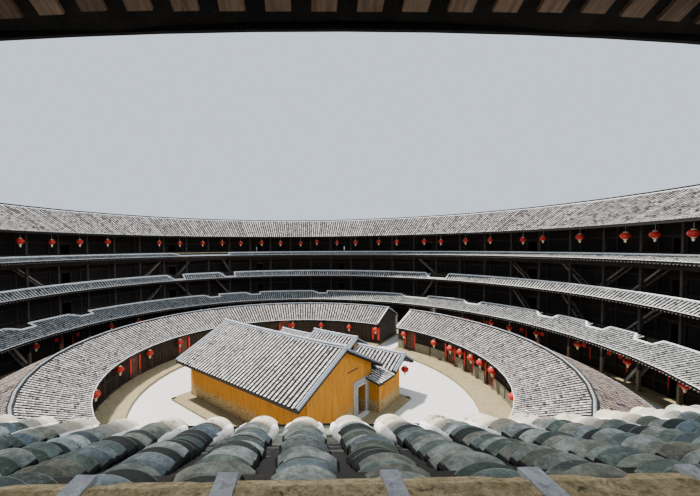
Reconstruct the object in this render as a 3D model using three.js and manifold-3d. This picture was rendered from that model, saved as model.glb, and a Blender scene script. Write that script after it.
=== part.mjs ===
// A large round earth house of the Fujian hills: a four-storey outer ring with timber galleries,
// a one-storey inner ring and a hall in the middle. Built as a model at a scale of 1 to 2.
// All sizes below are real metres; the group's scale turns them into model millimetres.
// The gate faces -Y. A bearing is turned counterclockwise from the gate, seen from above.
import * as THREE from "three";
import { mergeVertices } from "three/addons/utils/BufferGeometryUtils.js";
import Module from "manifold-3d";

const wasm = await Module();
wasm.setup();

// Scale, clearances and the division of the rings into bays
const MODEL_MM_PER_METRE = 500;
const GAP = 0.0008; // between pieces that lie against each other
const FAR = 60; // reach of a cut that runs past the whole house
const TALL = 30;
const BAYS = 52;
const BAY = (2 * Math.PI) / BAYS;
const JOINT_ANGLE = 2.4e-5; // half the joint between two arcs of one ring
const DEGREE = Math.PI / 180;

// Radii of the outer ring
const RIDGE_R = 30.7;
const INNER_EAVE_R = 25.28;
const OUTER_EAVE_R = 36.3;
const POST_R = 26.7;
const POST_SIDE = 0.2;
const GROUND_FLOOR_R = 26.2;
const RAIL_THICKNESS = 0.1;
const RAIL_R = POST_R - POST_SIDE / 2 - GAP - RAIL_THICKNESS;
const ROOM_FRONT_R = 28;
const ROOM_FRONT_THICKNESS = 0.1;
const WALL_INNER_R = 32.6;
const WALL_FOOT_R = 34.3;
const WALL_TOP_R = 33.75;
const BASE_OUTER_R = 34.4;

// Heights of the outer ring
const GROUND_FLOOR = 0.15;
const BASE_TOP = 0.8;
const FLOORS = [3.8, 7.1, 10.2];
const FLOOR_THICKNESS = 0.14;
const RAIL_HEIGHTS = [0.95, 0.95, 0.85];
const RAIL_DROP = 0.2; // below its floor
const ROOF_RIDGE_Z = 16.28;
const ROOF_EAVE_Z = 13.42;
const ROOF_THICKNESS = 0.17;
const RIDGE_CAP_HEIGHT = 0.24;
const RIDGE_CAP_HALF = 0.17;
const INNER_SLOPE = (ROOF_RIDGE_Z - ROOF_EAVE_Z) / (RIDGE_R - INNER_EAVE_R);
const OUTER_SLOPE = (ROOF_RIDGE_Z - ROOF_EAVE_Z) / (OUTER_EAVE_R - RIDGE_R);
const TOP_BEAM_DEPTH = 0.3;
const POST_TENON = 0.2; // of each post into the beam

// Skirt roofs under the rails: top edge at the rail, eave over the courtyard, and notches in the top
// edge by bay, the wider ones with their half width
const SKIRT_THICKNESS = 0.12;
const SKIRTS = [
  {
    storey: 2,
    topZ: 4.74,
    eaveR: 23.7,
    eaveZ: 3.84,
    notches: [
      [0.3, 1.6], 4.9, 8.3, 10.3, 15.8, 17.8, 21.2, 24, 28, 31, 33.8, 36.5, 38.2, 41, 44, 45.4, 47, 49.8,
    ],
  },
  { storey: 3, topZ: 8.05, eaveR: 25.5, eaveZ: 7.3, notches: [9.55, 11.95, 20.5, 31.5, [51.3, 1.2]] },
  { storey: 4, topZ: 11.02, eaveR: 25.5, eaveZ: 10.62, notches: [[10.73, 3.7]] },
];
const NOTCH_HALF_WIDTH = 0.75;
const NOTCH_DEPTH_R = 0.8;

// Openings of the outer ring
const GATE_WIDTH = 2;
const GATE_HEIGHT = 3;
const GATE_FRAME = 0.35;
const GATE_LEAF_THICKNESS = 0.09;
const PASSAGE_HALF_WIDTH = 1.35;
const WINDOW_WIDTH = 0.55;
const WINDOW_HEIGHT = 0.8;
const WINDOW_SILL = 1;
const ROOM_DOOR_WIDTH = 1;
const ROOM_DOOR_HEIGHT = 2.05;
const DOOR_EVERY = 4;

// Stairs along the gallery, from the ground to the second storey; rises is the way round they go up
const STAIRS = [
  { side: "left", midBay: 17.73, rises: 1 },
  { side: "right", midBay: 44.62, rises: -1 },
];
const STAIR_RUN = 2.5;
const STAIR_INNER_R = 26.98;
const STAIR_OUTER_R = 27.82;
const STAIR_TREADS = 13;
const TREAD_DEPTH = 0.24;
const TREAD_THICKNESS = 0.04;
const STRING_THICKNESS = 0.05;
const STRING_ABOVE = 0.12; // above the line of the treads
const STRING_BELOW = 0.22;
const STAIRWELL_LENGTH = 1.45;
const STAIRWELL_CLEARANCE = 0.03;

// Inner ring
const IR_EAVE_R = 14.9;
const IR_RIDGE_R = 18.3;
const IR_OUTER_EAVE_R = 21.7;
const IR_EAVE_Z = 2.57;
const IR_RIDGE_Z = 4.05;
const IR_SLOPE = (IR_RIDGE_Z - IR_EAVE_Z) / (IR_RIDGE_R - IR_EAVE_R);
const IR_ROOF_THICKNESS = 0.2;
const IR_CAP_HALF = 0.14;
const IR_CAP_HEIGHT = 0.16;
const IR_FRONT_R = 15.55;
const IR_FRONT_THICKNESS = 0.12;
const IR_BACK_R = 20.75;
const IR_BACK_THICKNESS = 0.3;
const IR_PLATFORM_INNER_R = 13.3;
const IR_PLATFORM_OUTER_R = 21.3;
const IR_PLATFORM_TOP = 0.15;
const IR_GAP_HALF = 4.15 * DEGREE;
const IR_DOOR_WIDTH = 1;
const IR_DOOR_HEIGHT = 1.95;
const IR_DOOR_THICKNESS = 0.05;
const IR_RIGHT_DOORS = [-10, -29.3, -38.5, -49.5];
const IR_LEFT_DOORS = [49.7, 97.3, 121];
const DOOR_CLEARANCE = 0.02; // all round a leaf that swings
const PIVOT_RADIUS = 0.02;

// Hall in the middle; x grows to the left of someone who looks out to the gate
const HALL_FLOOR = 0.15;
const HALL_WALL = 0.45;
const HALL_ROOF_THICKNESS = 0.2;
const HALL_WALL_STEP = 0.06; // a side wall's slant under the end of its roof
const HALL_CAP = 0.12; // half width and height of a hall's ridge cap
const MAIN_HALL = {
  halfWidth: 6.05,
  backY: 6.7,
  frontY: -0.5,
  ridgeY: 3.11,
  ridgeZ: 5.3,
  eaveZ: 3.13,
  backEaveY: 7.76,
  verge: 6.35,
  openingHalfWidth: 2,
  openingTop: 2.5,
};
const SIDE_DOOR = { lowY: 0.4, highY: 1.45, height: 2.1, jamb: 0.5, lintel: 0.45, proud: 0.06 };
const FRONT_HALL = {
  leftX: 5.4,
  rightX: -6.9,
  wallY: -3,
  wallThickness: 0.35,
  sideThickness: 0.4,
  ridgeY: -3.5,
  ridgeZ: 3.45,
  middleRidgeZ: 4,
  run: 1.6,
  slope: 0.5,
  leftVerge: 5.75,
  rightVerge: -7.3,
  middleLeft: 1.6,
  middleRight: -3.05,
  doorLeft: 0.35,
  doorRight: -1.75,
  doorHeight: 2.3,
};
const WING = {
  wallBackY: -0.12,
  wallThickness: 0.33,
  eaveZ: 2.4,
  slope: 0.25,
  overhang: 0.3,
  innerRun: 1.9,
  backY: 0.4,
  frontY: -1.86,
  thickness: 0.13,
};
const APRON = { leftX: 6.6, rightX: -7.6, frontY: -3.9, backY: 8.1 };

// Colours of the materials
const EARTH = { color: 0xc9a468, roughness: 0.95 };
const OCHRE = { color: 0xc68a35, roughness: 0.9 };
const STONE = { color: 0xa9a18f, roughness: 0.9 };
const TIMBER = { color: 0x3b2a20, roughness: 0.8 };
const TILE = { color: 0x8f8b8c, roughness: 0.85 };
const BOARD = { color: 0x5a3a2a, roughness: 0.75 };

// A closed three.js geometry as a solid that can be cut and joined
function solidOf(geometry) {
  const bare = geometry.clone();
  bare.deleteAttribute("normal");
  bare.deleteAttribute("uv");
  const merged = mergeVertices(bare, 1e-5);
  return new wasm.Manifold(
    new wasm.Mesh({
      numProp: 3,
      vertProperties: merged.attributes.position.array,
      triVerts: new Uint32Array(merged.index.array),
    }),
  );
}

function joined(solids) {
  return solids.reduce((whole, next) => whole.add(next));
}

// A named mesh from a solid
function piece(name, solid, finish) {
  const { vertProperties, triVerts } = solid.getMesh();
  const geometry = new THREE.BufferGeometry();
  geometry.setAttribute("position", new THREE.BufferAttribute(new Float32Array(vertProperties), 3));
  geometry.setIndex(new THREE.BufferAttribute(new Uint32Array(triVerts), 1));
  geometry.computeVertexNormals();
  const mesh = new THREE.Mesh(geometry, new THREE.MeshStandardMaterial({ metalness: 0, ...finish }));
  mesh.name = name;
  return mesh;
}

function block(x0, x1, y0, y1, z0, z1) {
  const box = new THREE.BoxGeometry(x1 - x0, y1 - y0, z1 - z0);
  return solidOf(box.translate((x0 + x1) / 2, (y0 + y1) / 2, (z0 + z1) / 2));
}

// A block that lies across the ring at a bearing, between two radii
function radialBlock(bearing, r0, r1, halfWidth, z0, z1) {
  const box = new THREE.BoxGeometry(2 * halfWidth, r1 - r0, z1 - z0);
  return solidOf(box.translate(0, -(r0 + r1) / 2, (z0 + z1) / 2).rotateZ(bearing));
}

// A full ring with one flat facet to a bay; the outline holds [radius, height] points, turning left
function ring(outline) {
  const points = [...outline, outline[0]].map(([r, z]) => new THREE.Vector2(r, z));
  const turned = new THREE.LatheGeometry(points, BAYS, -BAY / 2, 2 * Math.PI);
  return solidOf(turned.rotateX(Math.PI / 2));
}

function plainRing(r0, r1, z0, z1) {
  return ring([[r0, z0], [r1, z0], [r1, z1], [r0, z1]]);
}

// A tall wedge from the axis between two bearings, less than half a turn apart
function wedge(from, to) {
  const steps = Math.ceil((to - from) / 0.5);
  const corners = [new THREE.Vector2(0, 0)];
  for (let i = 0; i <= steps; i++) {
    const bearing = from + ((to - from) * i) / steps;
    corners.push(new THREE.Vector2(FAR * Math.sin(bearing), -FAR * Math.cos(bearing)));
  }
  const flat = new THREE.ExtrudeGeometry(new THREE.Shape(corners), { depth: TALL, bevelEnabled: false });
  return solidOf(flat.translate(0, 0, -1));
}

// The arc of a ring between two bay boundaries
function arc(whole, fromBay, toBay) {
  return whole.intersect(wedge((fromBay - 0.5) * BAY + JOINT_ANGLE, (toBay + 0.5) * BAY - JOINT_ANGLE));
}

// A prism along X with an outline of [y, z] points, turning left
function prismAlongX(outline, x0, x1) {
  const shape = new THREE.Shape(outline.map(([y, z]) => new THREE.Vector2(y, z)));
  const flat = new THREE.ExtrudeGeometry(shape, { depth: x1 - x0, bevelEnabled: false });
  const turn = new THREE.Matrix4().makeBasis(
    new THREE.Vector3(0, 1, 0),
    new THREE.Vector3(0, 0, 1),
    new THREE.Vector3(1, 0, 0),
  );
  return solidOf(flat.applyMatrix4(turn).translate(x0, 0, 0));
}

// A prism along Y with an outline of [x, z] points, turning left
function prismAlongY(outline, y0, y1) {
  const shape = new THREE.Shape(outline.map(([x, z]) => new THREE.Vector2(x, z)));
  const flat = new THREE.ExtrudeGeometry(shape, { depth: y1 - y0, bevelEnabled: false });
  return solidOf(flat.rotateX(Math.PI / 2).translate(0, y1, 0));
}

function roofUnderside(radius) {
  const slope = radius < RIDGE_R ? INNER_SLOPE : OUTER_SLOPE;
  return ROOF_RIDGE_Z - ROOF_THICKNESS - slope * Math.abs(radius - RIDGE_R);
}

// Outer ring: the stone base in two halves, parted at the gate
function stoneBase() {
  const gate = PASSAGE_HALF_WIDTH + GAP;
  const whole = plainRing(WALL_INNER_R, BASE_OUTER_R, 0, BASE_TOP);
  const passage = block(-gate, gate, -FAR, 0, -1, TALL);
  const leftHalf = whole.intersect(block(GAP, FAR, -FAR, FAR, -1, TALL));
  const rightHalf = whole.intersect(block(-FAR, -GAP, -FAR, FAR, -1, TALL));
  return [
    piece("stone_base_left", leftHalf.subtract(passage), STONE),
    piece("stone_base_right", rightHalf.subtract(passage), STONE),
  ];
}

// Windows of one arc: every other bay on the top storey, the bays between them one storey lower
function windowCuts(fromBay, toBay) {
  const cuts = [];
  for (let bay = fromBay; bay <= toBay; bay++) {
    const even = Math.abs(bay) % 2 === 0;
    const sill = (even ? FLOORS[2] : FLOORS[1]) + WINDOW_SILL;
    const head = sill + WINDOW_HEIGHT;
    cuts.push(radialBlock(bay * BAY, WALL_INNER_R - 1, WALL_FOOT_R + 1, WINDOW_WIDTH / 2, sill, head));
  }
  return joined(cuts);
}

function earthWalls() {
  const whole = ring([
    [WALL_INNER_R, BASE_TOP + GAP],
    [WALL_FOOT_R, BASE_TOP + GAP],
    [WALL_TOP_R, roofUnderside(WALL_TOP_R) - GAP],
    [WALL_INNER_R, roofUnderside(WALL_INNER_R) - GAP],
  ]);
  const quarter = BAYS / 4;
  const half = (quarter - 1) / 2;
  const names = ["front_wall", "left_wall", "back_wall", "right_wall"];
  const frameTop = GATE_HEIGHT + GATE_FRAME + GAP;
  const gate = PASSAGE_HALF_WIDTH + GAP;
  const over = PASSAGE_HALF_WIDTH;
  return names.flatMap((name, side) => {
    const first = side * quarter - half;
    const last = side * quarter + half;
    const wall = arc(whole, first, last).subtract(windowCuts(first, last));
    if (name !== "front_wall") return [piece(name, wall, EARTH)];
    return [
      piece(`${name}_left`, wall.intersect(block(gate, FAR, -FAR, 0, 0, TALL)), EARTH),
      piece(`${name}_right`, wall.intersect(block(-FAR, -gate, -FAR, 0, 0, TALL)), EARTH),
      piece(`${name}_over_gate`, wall.intersect(block(-over, over, -FAR, 0, frameTop, TALL)), EARTH),
    ];
  });
}

function gate() {
  const outer = PASSAGE_HALF_WIDTH;
  const inner = GATE_WIDTH / 2;
  const front = -BASE_OUTER_R * Math.cos(BAY / 2);
  const back = -WALL_INNER_R * Math.cos(BAY / 2);
  const frame = block(-outer, outer, front, back, 0, GATE_HEIGHT + GATE_FRAME).subtract(
    block(-inner, inner, front - 1, back + 1, GROUND_FLOOR, GATE_HEIGHT),
  );
  const leafFoot = GROUND_FLOOR + GAP;
  const near = back + GAP;
  return [
    piece("gate_frame", frame, STONE),
    ...[1, -1].map((side) => {
      const a = side * inner;
      const b = side * (inner + GATE_LEAF_THICKNESS);
      const leaf = block(Math.min(a, b), Math.max(a, b), near, near + inner, leafFoot, GATE_HEIGHT);
      return piece(side > 0 ? "gate_leaf_left" : "gate_leaf_right", leaf, BOARD);
    }),
  ];
}

// Outer ring: floors, stairs, room fronts, posts and rails
function stairwell({ midBay, rises }) {
  const top = (rises * STAIR_RUN) / 2 + rises * GAP;
  const foot = top - rises * STAIRWELL_LENGTH;
  const inner = STAIR_INNER_R - STAIRWELL_CLEARANCE;
  const outer = STAIR_OUTER_R + STAIRWELL_CLEARANCE;
  const hole = new THREE.BoxGeometry(STAIRWELL_LENGTH, outer - inner, 1);
  const across = -(inner + outer) / 2;
  return solidOf(hole.translate((top + foot) / 2, across, FLOORS[0]).rotateZ(midBay * BAY));
}

function floors() {
  const ground = plainRing(GROUND_FLOOR_R, WALL_INNER_R - GAP, 0, GROUND_FLOOR);
  const slabR = POST_R + (POST_SIDE / 2) * (1 + Math.tan(BAY / 2)) + GAP;
  return [
    piece("ground_floor", ground, STONE),
    ...FLOORS.map((top, i) => {
      const slab = plainRing(slabR, WALL_INNER_R - GAP, top - FLOOR_THICKNESS, top);
      const holed = i === 0 ? slab.subtract(joined(STAIRS.map(stairwell))) : slab;
      return piece(`floor_${i + 2}`, holed, TIMBER);
    }),
  ];
}

// An open flight: treads between two strings, in a group that stands at its bearing
function stair({ side, midBay, rises }) {
  const foot = GROUND_FLOOR + GAP;
  const top = FLOORS[0];
  const rise = (top - foot) / (STAIR_TREADS + 1);
  const going = STAIR_RUN / (STAIR_TREADS + 1);
  const slope = rise / going;
  const half = STAIR_RUN / 2;
  const outline = [
    [-half - STRING_ABOVE / slope, foot],
    [-half + STRING_BELOW / slope, foot],
    [half, top - STRING_BELOW],
    [half, top],
    [half - STRING_ABOVE / slope, top],
  ].map(([x, z]) => [rises * x, z]);
  if (rises < 0) outline.reverse();
  const strings = [
    prismAlongY(outline, -STAIR_OUTER_R, -STAIR_OUTER_R + STRING_THICKNESS),
    prismAlongY(outline, -STAIR_INNER_R - STRING_THICKNESS, -STAIR_INNER_R),
  ];
  const treads = [];
  for (let i = 1; i <= STAIR_TREADS; i++) {
    const x = rises * (i * going - half);
    const z = foot + i * rise;
    const reach = TREAD_DEPTH / 2;
    treads.push(block(x - reach, x + reach, -STAIR_OUTER_R, -STAIR_INNER_R, z - TREAD_THICKNESS, z));
  }
  const flight = joined([...strings, ...treads]);
  const keep = block(-half, half, -FAR, 0, foot, top);
  const start = block(rises > 0 ? -FAR : 0, rises > 0 ? 0 : FAR, -FAR, 0, foot, top);
  const stand = new THREE.Group();
  stand.rotation.z = midBay * BAY;
  stand.add(piece(`${side}_stair`, flight.intersect(keep.add(start)), TIMBER));
  return stand;
}

function roomFronts() {
  const feet = [GROUND_FLOOR, ...FLOORS];
  return feet.map((foot, i) => {
    const r1 = ROOM_FRONT_R + ROOM_FRONT_THICKNESS;
    const low = foot + GAP;
    const highAt = (r) => (FLOORS[i] ? FLOORS[i] - FLOOR_THICKNESS : roofUnderside(r)) - GAP;
    const front = ring([
      [ROOM_FRONT_R, low],
      [r1, low],
      [r1, highAt(r1)],
      [ROOM_FRONT_R, highAt(ROOM_FRONT_R)],
    ]);
    const cuts = [];
    for (let bay = 0; bay < BAYS; bay += DOOR_EVERY) {
      const atGate = i === 0 && bay === 0;
      const halfWidth = (atGate ? GATE_WIDTH : ROOM_DOOR_WIDTH) / 2;
      const head = atGate ? GATE_HEIGHT : foot + ROOM_DOOR_HEIGHT;
      cuts.push(radialBlock(bay * BAY, ROOM_FRONT_R - 1, r1 + 1, halfWidth, low - 1, head));
    }
    return piece(`room_fronts_${i + 1}`, front.subtract(joined(cuts)), TIMBER);
  });
}

// Posts in four frames of 13, each under its own length of the top beam
function galleryPosts() {
  const r0 = POST_R - POST_SIDE / 2;
  const r1 = POST_R + POST_SIDE / 2;
  const under = (r) => roofUnderside(r) - GAP;
  const beamFoot = under(r0) - TOP_BEAM_DEPTH;
  const foot = GROUND_FLOOR + GAP;
  const beam = ring([
    [r0, beamFoot],
    [r1, beamFoot],
    [r1, under(r1)],
    [r0, under(r0)],
  ]);
  const quarter = BAYS / 4;
  return ["front", "left", "back", "right"].map((side, i) => {
    const first = (i - 0.5) * quarter + 0.5;
    const posts = [];
    for (let bay = first + 0.5; bay < first + quarter; bay++) {
      posts.push(radialBlock(bay * BAY, r0, r1, POST_SIDE / 2, foot, beamFoot + POST_TENON));
    }
    const length = arc(beam, first + 0.5, first + quarter - 0.5);
    return piece(`gallery_posts_${side}`, joined([length, ...posts]), TIMBER);
  });
}

function rails() {
  return FLOORS.map((floor, i) => {
    const rail = plainRing(RAIL_R, RAIL_R + RAIL_THICKNESS, floor - RAIL_DROP, floor + RAIL_HEIGHTS[i]);
    return piece(`gallery_rail_${i + 2}`, rail, TIMBER);
  });
}

// Outer ring: roofs
function skirtRoof({ storey, topZ, eaveR, eaveZ, notches }) {
  const top = RAIL_R - GAP;
  const whole = ring([
    [eaveR, eaveZ - SKIRT_THICKNESS],
    [top, topZ - SKIRT_THICKNESS],
    [top, topZ],
    [eaveR, eaveZ],
  ]);
  const topEdge = plainRing(RAIL_R - NOTCH_DEPTH_R, POST_R, 0, TALL);
  const skirt = notches.reduce((rest, notch) => {
    const [bay, half = NOTCH_HALF_WIDTH] = [notch].flat();
    const swing = half / RAIL_R;
    return rest.subtract(topEdge.intersect(wedge(bay * BAY - swing, bay * BAY + swing)));
  }, whole);
  return piece(`skirt_roof_${storey}`, skirt, TILE);
}

// A ridge roof on a ring: inner eave, ridge cap, outer eave, and the underside parallel to them
function ridgeRing([innerR, ridgeR, outerR], [eaveZ, ridgeZ], thickness, [capHalf, capHeight]) {
  const slope = (ridgeZ - eaveZ) / (ridgeR - innerR);
  const shoulder = ridgeZ - slope * capHalf;
  return ring([
    [innerR, eaveZ - thickness],
    [ridgeR, ridgeZ - thickness],
    [outerR, eaveZ - thickness],
    [outerR, eaveZ],
    [ridgeR + capHalf, shoulder],
    [ridgeR + capHalf, shoulder + capHeight],
    [ridgeR - capHalf, shoulder + capHeight],
    [ridgeR - capHalf, shoulder],
    [innerR, eaveZ],
  ]);
}

function mainRoof() {
  const whole = ridgeRing(
    [INNER_EAVE_R, RIDGE_R, OUTER_EAVE_R],
    [ROOF_EAVE_Z, ROOF_RIDGE_Z],
    ROOF_THICKNESS,
    [RIDGE_CAP_HALF, RIDGE_CAP_HEIGHT],
  );
  const quarter = BAYS / 4;
  const half = (quarter - 1) / 2;
  return ["front", "left", "back", "right"].map((side, i) =>
    piece(`main_roof_${side}`, arc(whole, i * quarter - half, i * quarter + half), TILE),
  );
}

// Inner ring, parted by a gap on the gate side and by a joint at the back
function innerHalf(whole, side) {
  const half = block(side > 0 ? GAP : -FAR, side > 0 ? FAR : -GAP, -FAR, FAR, -1, TALL);
  return whole.intersect(half).subtract(wedge(-IR_GAP_HALF, IR_GAP_HALF));
}

function innerRing() {
  const foot = IR_PLATFORM_TOP + GAP;
  const under = (r) => IR_RIDGE_Z - IR_ROOF_THICKNESS - IR_SLOPE * Math.abs(r - IR_RIDGE_R) - GAP;
  const wallRing = (r0, r1) => ring([[r0, foot], [r1, foot], [r1, under(r1)], [r0, under(r0)]]);
  const doorHead = IR_PLATFORM_TOP + IR_DOOR_HEIGHT + DOOR_CLEARANCE;
  const doorCut = (degrees) =>
    radialBlock(degrees * DEGREE, IR_FRONT_R - 1, IR_FRONT_R + 1, IR_DOOR_WIDTH / 2, 0, doorHead);
  const front = wallRing(IR_FRONT_R, IR_FRONT_R + IR_FRONT_THICKNESS);
  const back = wallRing(IR_BACK_R, IR_BACK_R + IR_BACK_THICKNESS);
  const roof = ridgeRing(
    [IR_EAVE_R, IR_RIDGE_R, IR_OUTER_EAVE_R],
    [IR_EAVE_Z, IR_RIDGE_Z],
    IR_ROOF_THICKNESS,
    [IR_CAP_HALF, IR_CAP_HEIGHT],
  );
  const platform = plainRing(IR_PLATFORM_INNER_R, IR_PLATFORM_OUTER_R, 0, IR_PLATFORM_TOP);
  const sides = [
    ["left", 1, IR_LEFT_DOORS],
    ["right", -1, IR_RIGHT_DOORS],
  ];
  return sides.flatMap(([side, sign, doors]) => [
    piece(`inner_ring_platform_${side}`, innerHalf(platform, sign), STONE),
    piece(`inner_ring_front_${side}`, innerHalf(front, sign).subtract(joined(doors.map(doorCut))), TIMBER),
    piece(`inner_ring_back_wall_${side}`, innerHalf(back, sign), STONE),
    piece(`inner_ring_roof_${side}`, innerHalf(roof, sign), TILE),
  ]);
}

// A door leaf of the inner ring with its pivots, in a group that stands at its bearing
function innerDoor(name, degrees) {
  const half = IR_DOOR_WIDTH / 2 - DOOR_CLEARANCE;
  const depth = IR_DOOR_THICKNESS;
  const low = IR_PLATFORM_TOP + DOOR_CLEARANCE;
  const high = IR_PLATFORM_TOP + IR_DOOR_HEIGHT;
  const pivotLow = IR_PLATFORM_TOP + GAP;
  const pivotHigh = high + DOOR_CLEARANCE - GAP;
  const pivot = new THREE.CylinderGeometry(PIVOT_RADIUS, PIVOT_RADIUS, pivotHigh - pivotLow, 12);
  pivot.rotateX(Math.PI / 2).translate(half - depth / 2, 0, (pivotLow + pivotHigh) / 2);
  const leaf = block(-half, half, -depth / 2, depth / 2, low, high);
  const mesh = piece(name, leaf.add(solidOf(pivot)), BOARD);
  mesh.position.y = -(IR_FRONT_R + IR_FRONT_THICKNESS / 2);
  const stand = new THREE.Group();
  stand.rotation.z = degrees * DEGREE;
  stand.add(mesh);
  return stand;
}

function innerDoors() {
  return [
    ...IR_RIGHT_DOORS.map((bearing, i) => innerDoor(`right_ring_door_${i + 1}`, bearing)),
    ...IR_LEFT_DOORS.map((bearing, i) => innerDoor(`left_ring_door_${i + 1}`, bearing)),
  ];
}

// Hall: a ridge roof along X between two verges
function hallRoof(name, ridgeY, ridgeZ, run, slope, x0, x1) {
  const drop = run * slope;
  const t = HALL_ROOF_THICKNESS;
  const cap = HALL_CAP;
  const outline = [
    [ridgeY - run, ridgeZ - drop - t],
    [ridgeY, ridgeZ - t],
    [ridgeY + run, ridgeZ - drop - t],
    [ridgeY + run, ridgeZ - drop],
    [ridgeY + cap, ridgeZ - cap * slope],
    [ridgeY + cap, ridgeZ + cap],
    [ridgeY - cap, ridgeZ + cap],
    [ridgeY - cap, ridgeZ - cap * slope],
    [ridgeY - run, ridgeZ - drop],
  ];
  return piece(name, prismAlongX(outline, x0, x1), TILE);
}

function mainHall() {
  const h = MAIN_HALL;
  const run = h.backEaveY - h.ridgeY;
  const slope = (h.ridgeZ - h.eaveZ) / run;
  const under = (y) => h.ridgeZ - HALL_ROOF_THICKNESS - GAP - slope * Math.abs(y - h.ridgeY);
  const foot = HALL_FLOOR + GAP;
  const outline = [
    [h.frontY, foot],
    [h.backY, foot],
    [h.backY, under(h.backY)],
    [h.ridgeY, under(h.ridgeY)],
    [h.frontY, under(h.frontY)],
  ];
  const x = h.halfWidth;
  const inside = block(HALL_WALL - x, x - HALL_WALL, h.frontY + HALL_WALL, h.backY - HALL_WALL, 0, TALL);
  const doors = block(-x - 1, x + 1, SIDE_DOOR.lowY, SIDE_DOOR.highY, 0, HALL_FLOOR + SIDE_DOOR.height);
  const open = block(-h.openingHalfWidth, h.openingHalfWidth, h.frontY - 1, h.frontY + 1, 0, h.openingTop);
  const walls = prismAlongX(outline, -x, x).subtract(joined([inside, doors, open]));
  return [
    piece("main_hall_walls", walls, OCHRE),
    hallRoof("main_hall_roof", h.ridgeY, h.ridgeZ, run, slope, -h.verge, h.verge),
  ];
}

function sideDoorFrame() {
  const d = SIDE_DOOR;
  const x = -MAIN_HALL.halfWidth - GAP;
  const foot = HALL_FLOOR + GAP;
  const top = HALL_FLOOR + d.height + d.lintel;
  const frame = block(x - d.proud, x, d.lowY - d.jamb, d.highY + d.jamb, foot, top);
  const opening = block(x - 1, x + 1, d.lowY, d.highY, 0, HALL_FLOOR + d.height);
  return piece("side_door_frame", frame.subtract(opening), STONE);
}

function frontHallWalls() {
  const h = FRONT_HALL;
  const foot = HALL_FLOOR + GAP;
  const front = h.wallY - h.wallThickness;
  const under = (y, ridgeZ) => ridgeZ - HALL_ROOF_THICKNESS - GAP - h.slope * Math.abs(y - h.ridgeY);
  const wingUnder = WING.eaveZ + WING.slope * WING.overhang - WING.thickness - GAP;
  const eaveY = h.ridgeY + h.run;
  const sideOutline = (backY) => [
    [front, foot],
    [backY, foot],
    [backY, wingUnder],
    [eaveY, wingUnder],
    [eaveY - HALL_WALL_STEP, under(eaveY - HALL_WALL_STEP, h.ridgeZ)],
    [front, under(front, h.ridgeZ)],
  ];
  const frontOutline = (ridgeZ) => [
    [front, foot],
    [h.wallY, foot],
    [h.wallY, under(h.wallY, ridgeZ)],
    [front, under(front, ridgeZ)],
  ];
  const returnFront = WING.wallBackY - WING.wallThickness;
  const gable = -MAIN_HALL.halfWidth - GAP;
  const solid = joined([
    prismAlongX(sideOutline(WING.wallBackY), h.rightX, h.rightX + h.sideThickness),
    block(h.rightX, gable, returnFront, WING.wallBackY, foot, wingUnder),
    prismAlongX(sideOutline(MAIN_HALL.frontY - GAP), h.leftX - h.sideThickness, h.leftX),
    prismAlongX(frontOutline(h.ridgeZ), h.rightX, h.leftX),
    prismAlongX(frontOutline(h.middleRidgeZ), h.middleRight, h.middleLeft),
  ]);
  const doorHead = HALL_FLOOR + h.doorHeight;
  const door = block(h.doorRight, h.doorLeft, front - 1, h.wallY + 1, 0, doorHead);
  return piece("front_hall_walls", solid.subtract(door), OCHRE);
}

function frontHallRoofs() {
  const h = FRONT_HALL;
  return [
    ["front_hall_middle_roof", h.middleRidgeZ, h.middleRight, h.middleLeft],
    ["front_hall_left_roof", h.ridgeZ, h.middleLeft + GAP, h.leftVerge],
    ["front_hall_right_roof", h.ridgeZ, h.rightVerge, h.middleRight - GAP],
  ].map(([name, ridgeZ, x0, x1]) => hallRoof(name, h.ridgeY, ridgeZ, h.run, h.slope, x0, x1));
}

// Low roof over a side wing, falling outwards
function wingRoofs() {
  const w = WING;
  const t = w.thickness;
  return [
    ["right_wing_roof", FRONT_HALL.rightX, -1],
    ["left_wing_roof", FRONT_HALL.leftX, 1],
  ].map(([name, wallX, sign]) => {
    const eaveX = wallX + sign * w.overhang;
    const innerX = eaveX - sign * w.innerRun;
    const topZ = w.eaveZ + w.slope * w.innerRun;
    const outline = [
      [eaveX, w.eaveZ - t],
      [innerX, topZ - t],
      [innerX, topZ],
      [eaveX, w.eaveZ],
    ];
    if (sign > 0) outline.reverse();
    const roof = prismAlongY(outline, w.frontY, w.backY);
    const gable = MAIN_HALL.halfWidth + SIDE_DOOR.proud + 2 * GAP;
    const clear = block(-gable, gable, MAIN_HALL.frontY - 2 * GAP, FAR, 0, TALL);
    return piece(name, roof.subtract(clear), TILE);
  });
}

function hallApron() {
  const a = APRON;
  return piece("hall_apron", block(a.rightX, a.leftX, a.frontY, a.backY, 0, HALL_FLOOR), STONE);
}

const house = new THREE.Group();
house.name = "tulou_roundhouse";
house.scale.setScalar(MODEL_MM_PER_METRE);
house.add(
  ...stoneBase(),
  ...earthWalls(),
  ...gate(),
  ...floors(),
  ...STAIRS.map(stair),
  ...roomFronts(),
  ...galleryPosts(),
  ...rails(),
  ...SKIRTS.map(skirtRoof),
  ...mainRoof(),
  ...innerRing(),
  ...innerDoors(),
  hallApron(),
  ...mainHall(),
  sideDoorFrame(),
  frontHallWalls(),
  ...frontHallRoofs(),
  ...wingRoofs(),
);

export default house;
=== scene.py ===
"""Looks of the round earth house. The model is at half size: lengths are real metres, which add_mesh scales by S."""
import bpy
from math import atan2, cos, hypot, pi, radians, sin
import numpy as np
from mathutils import Matrix, Vector


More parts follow.
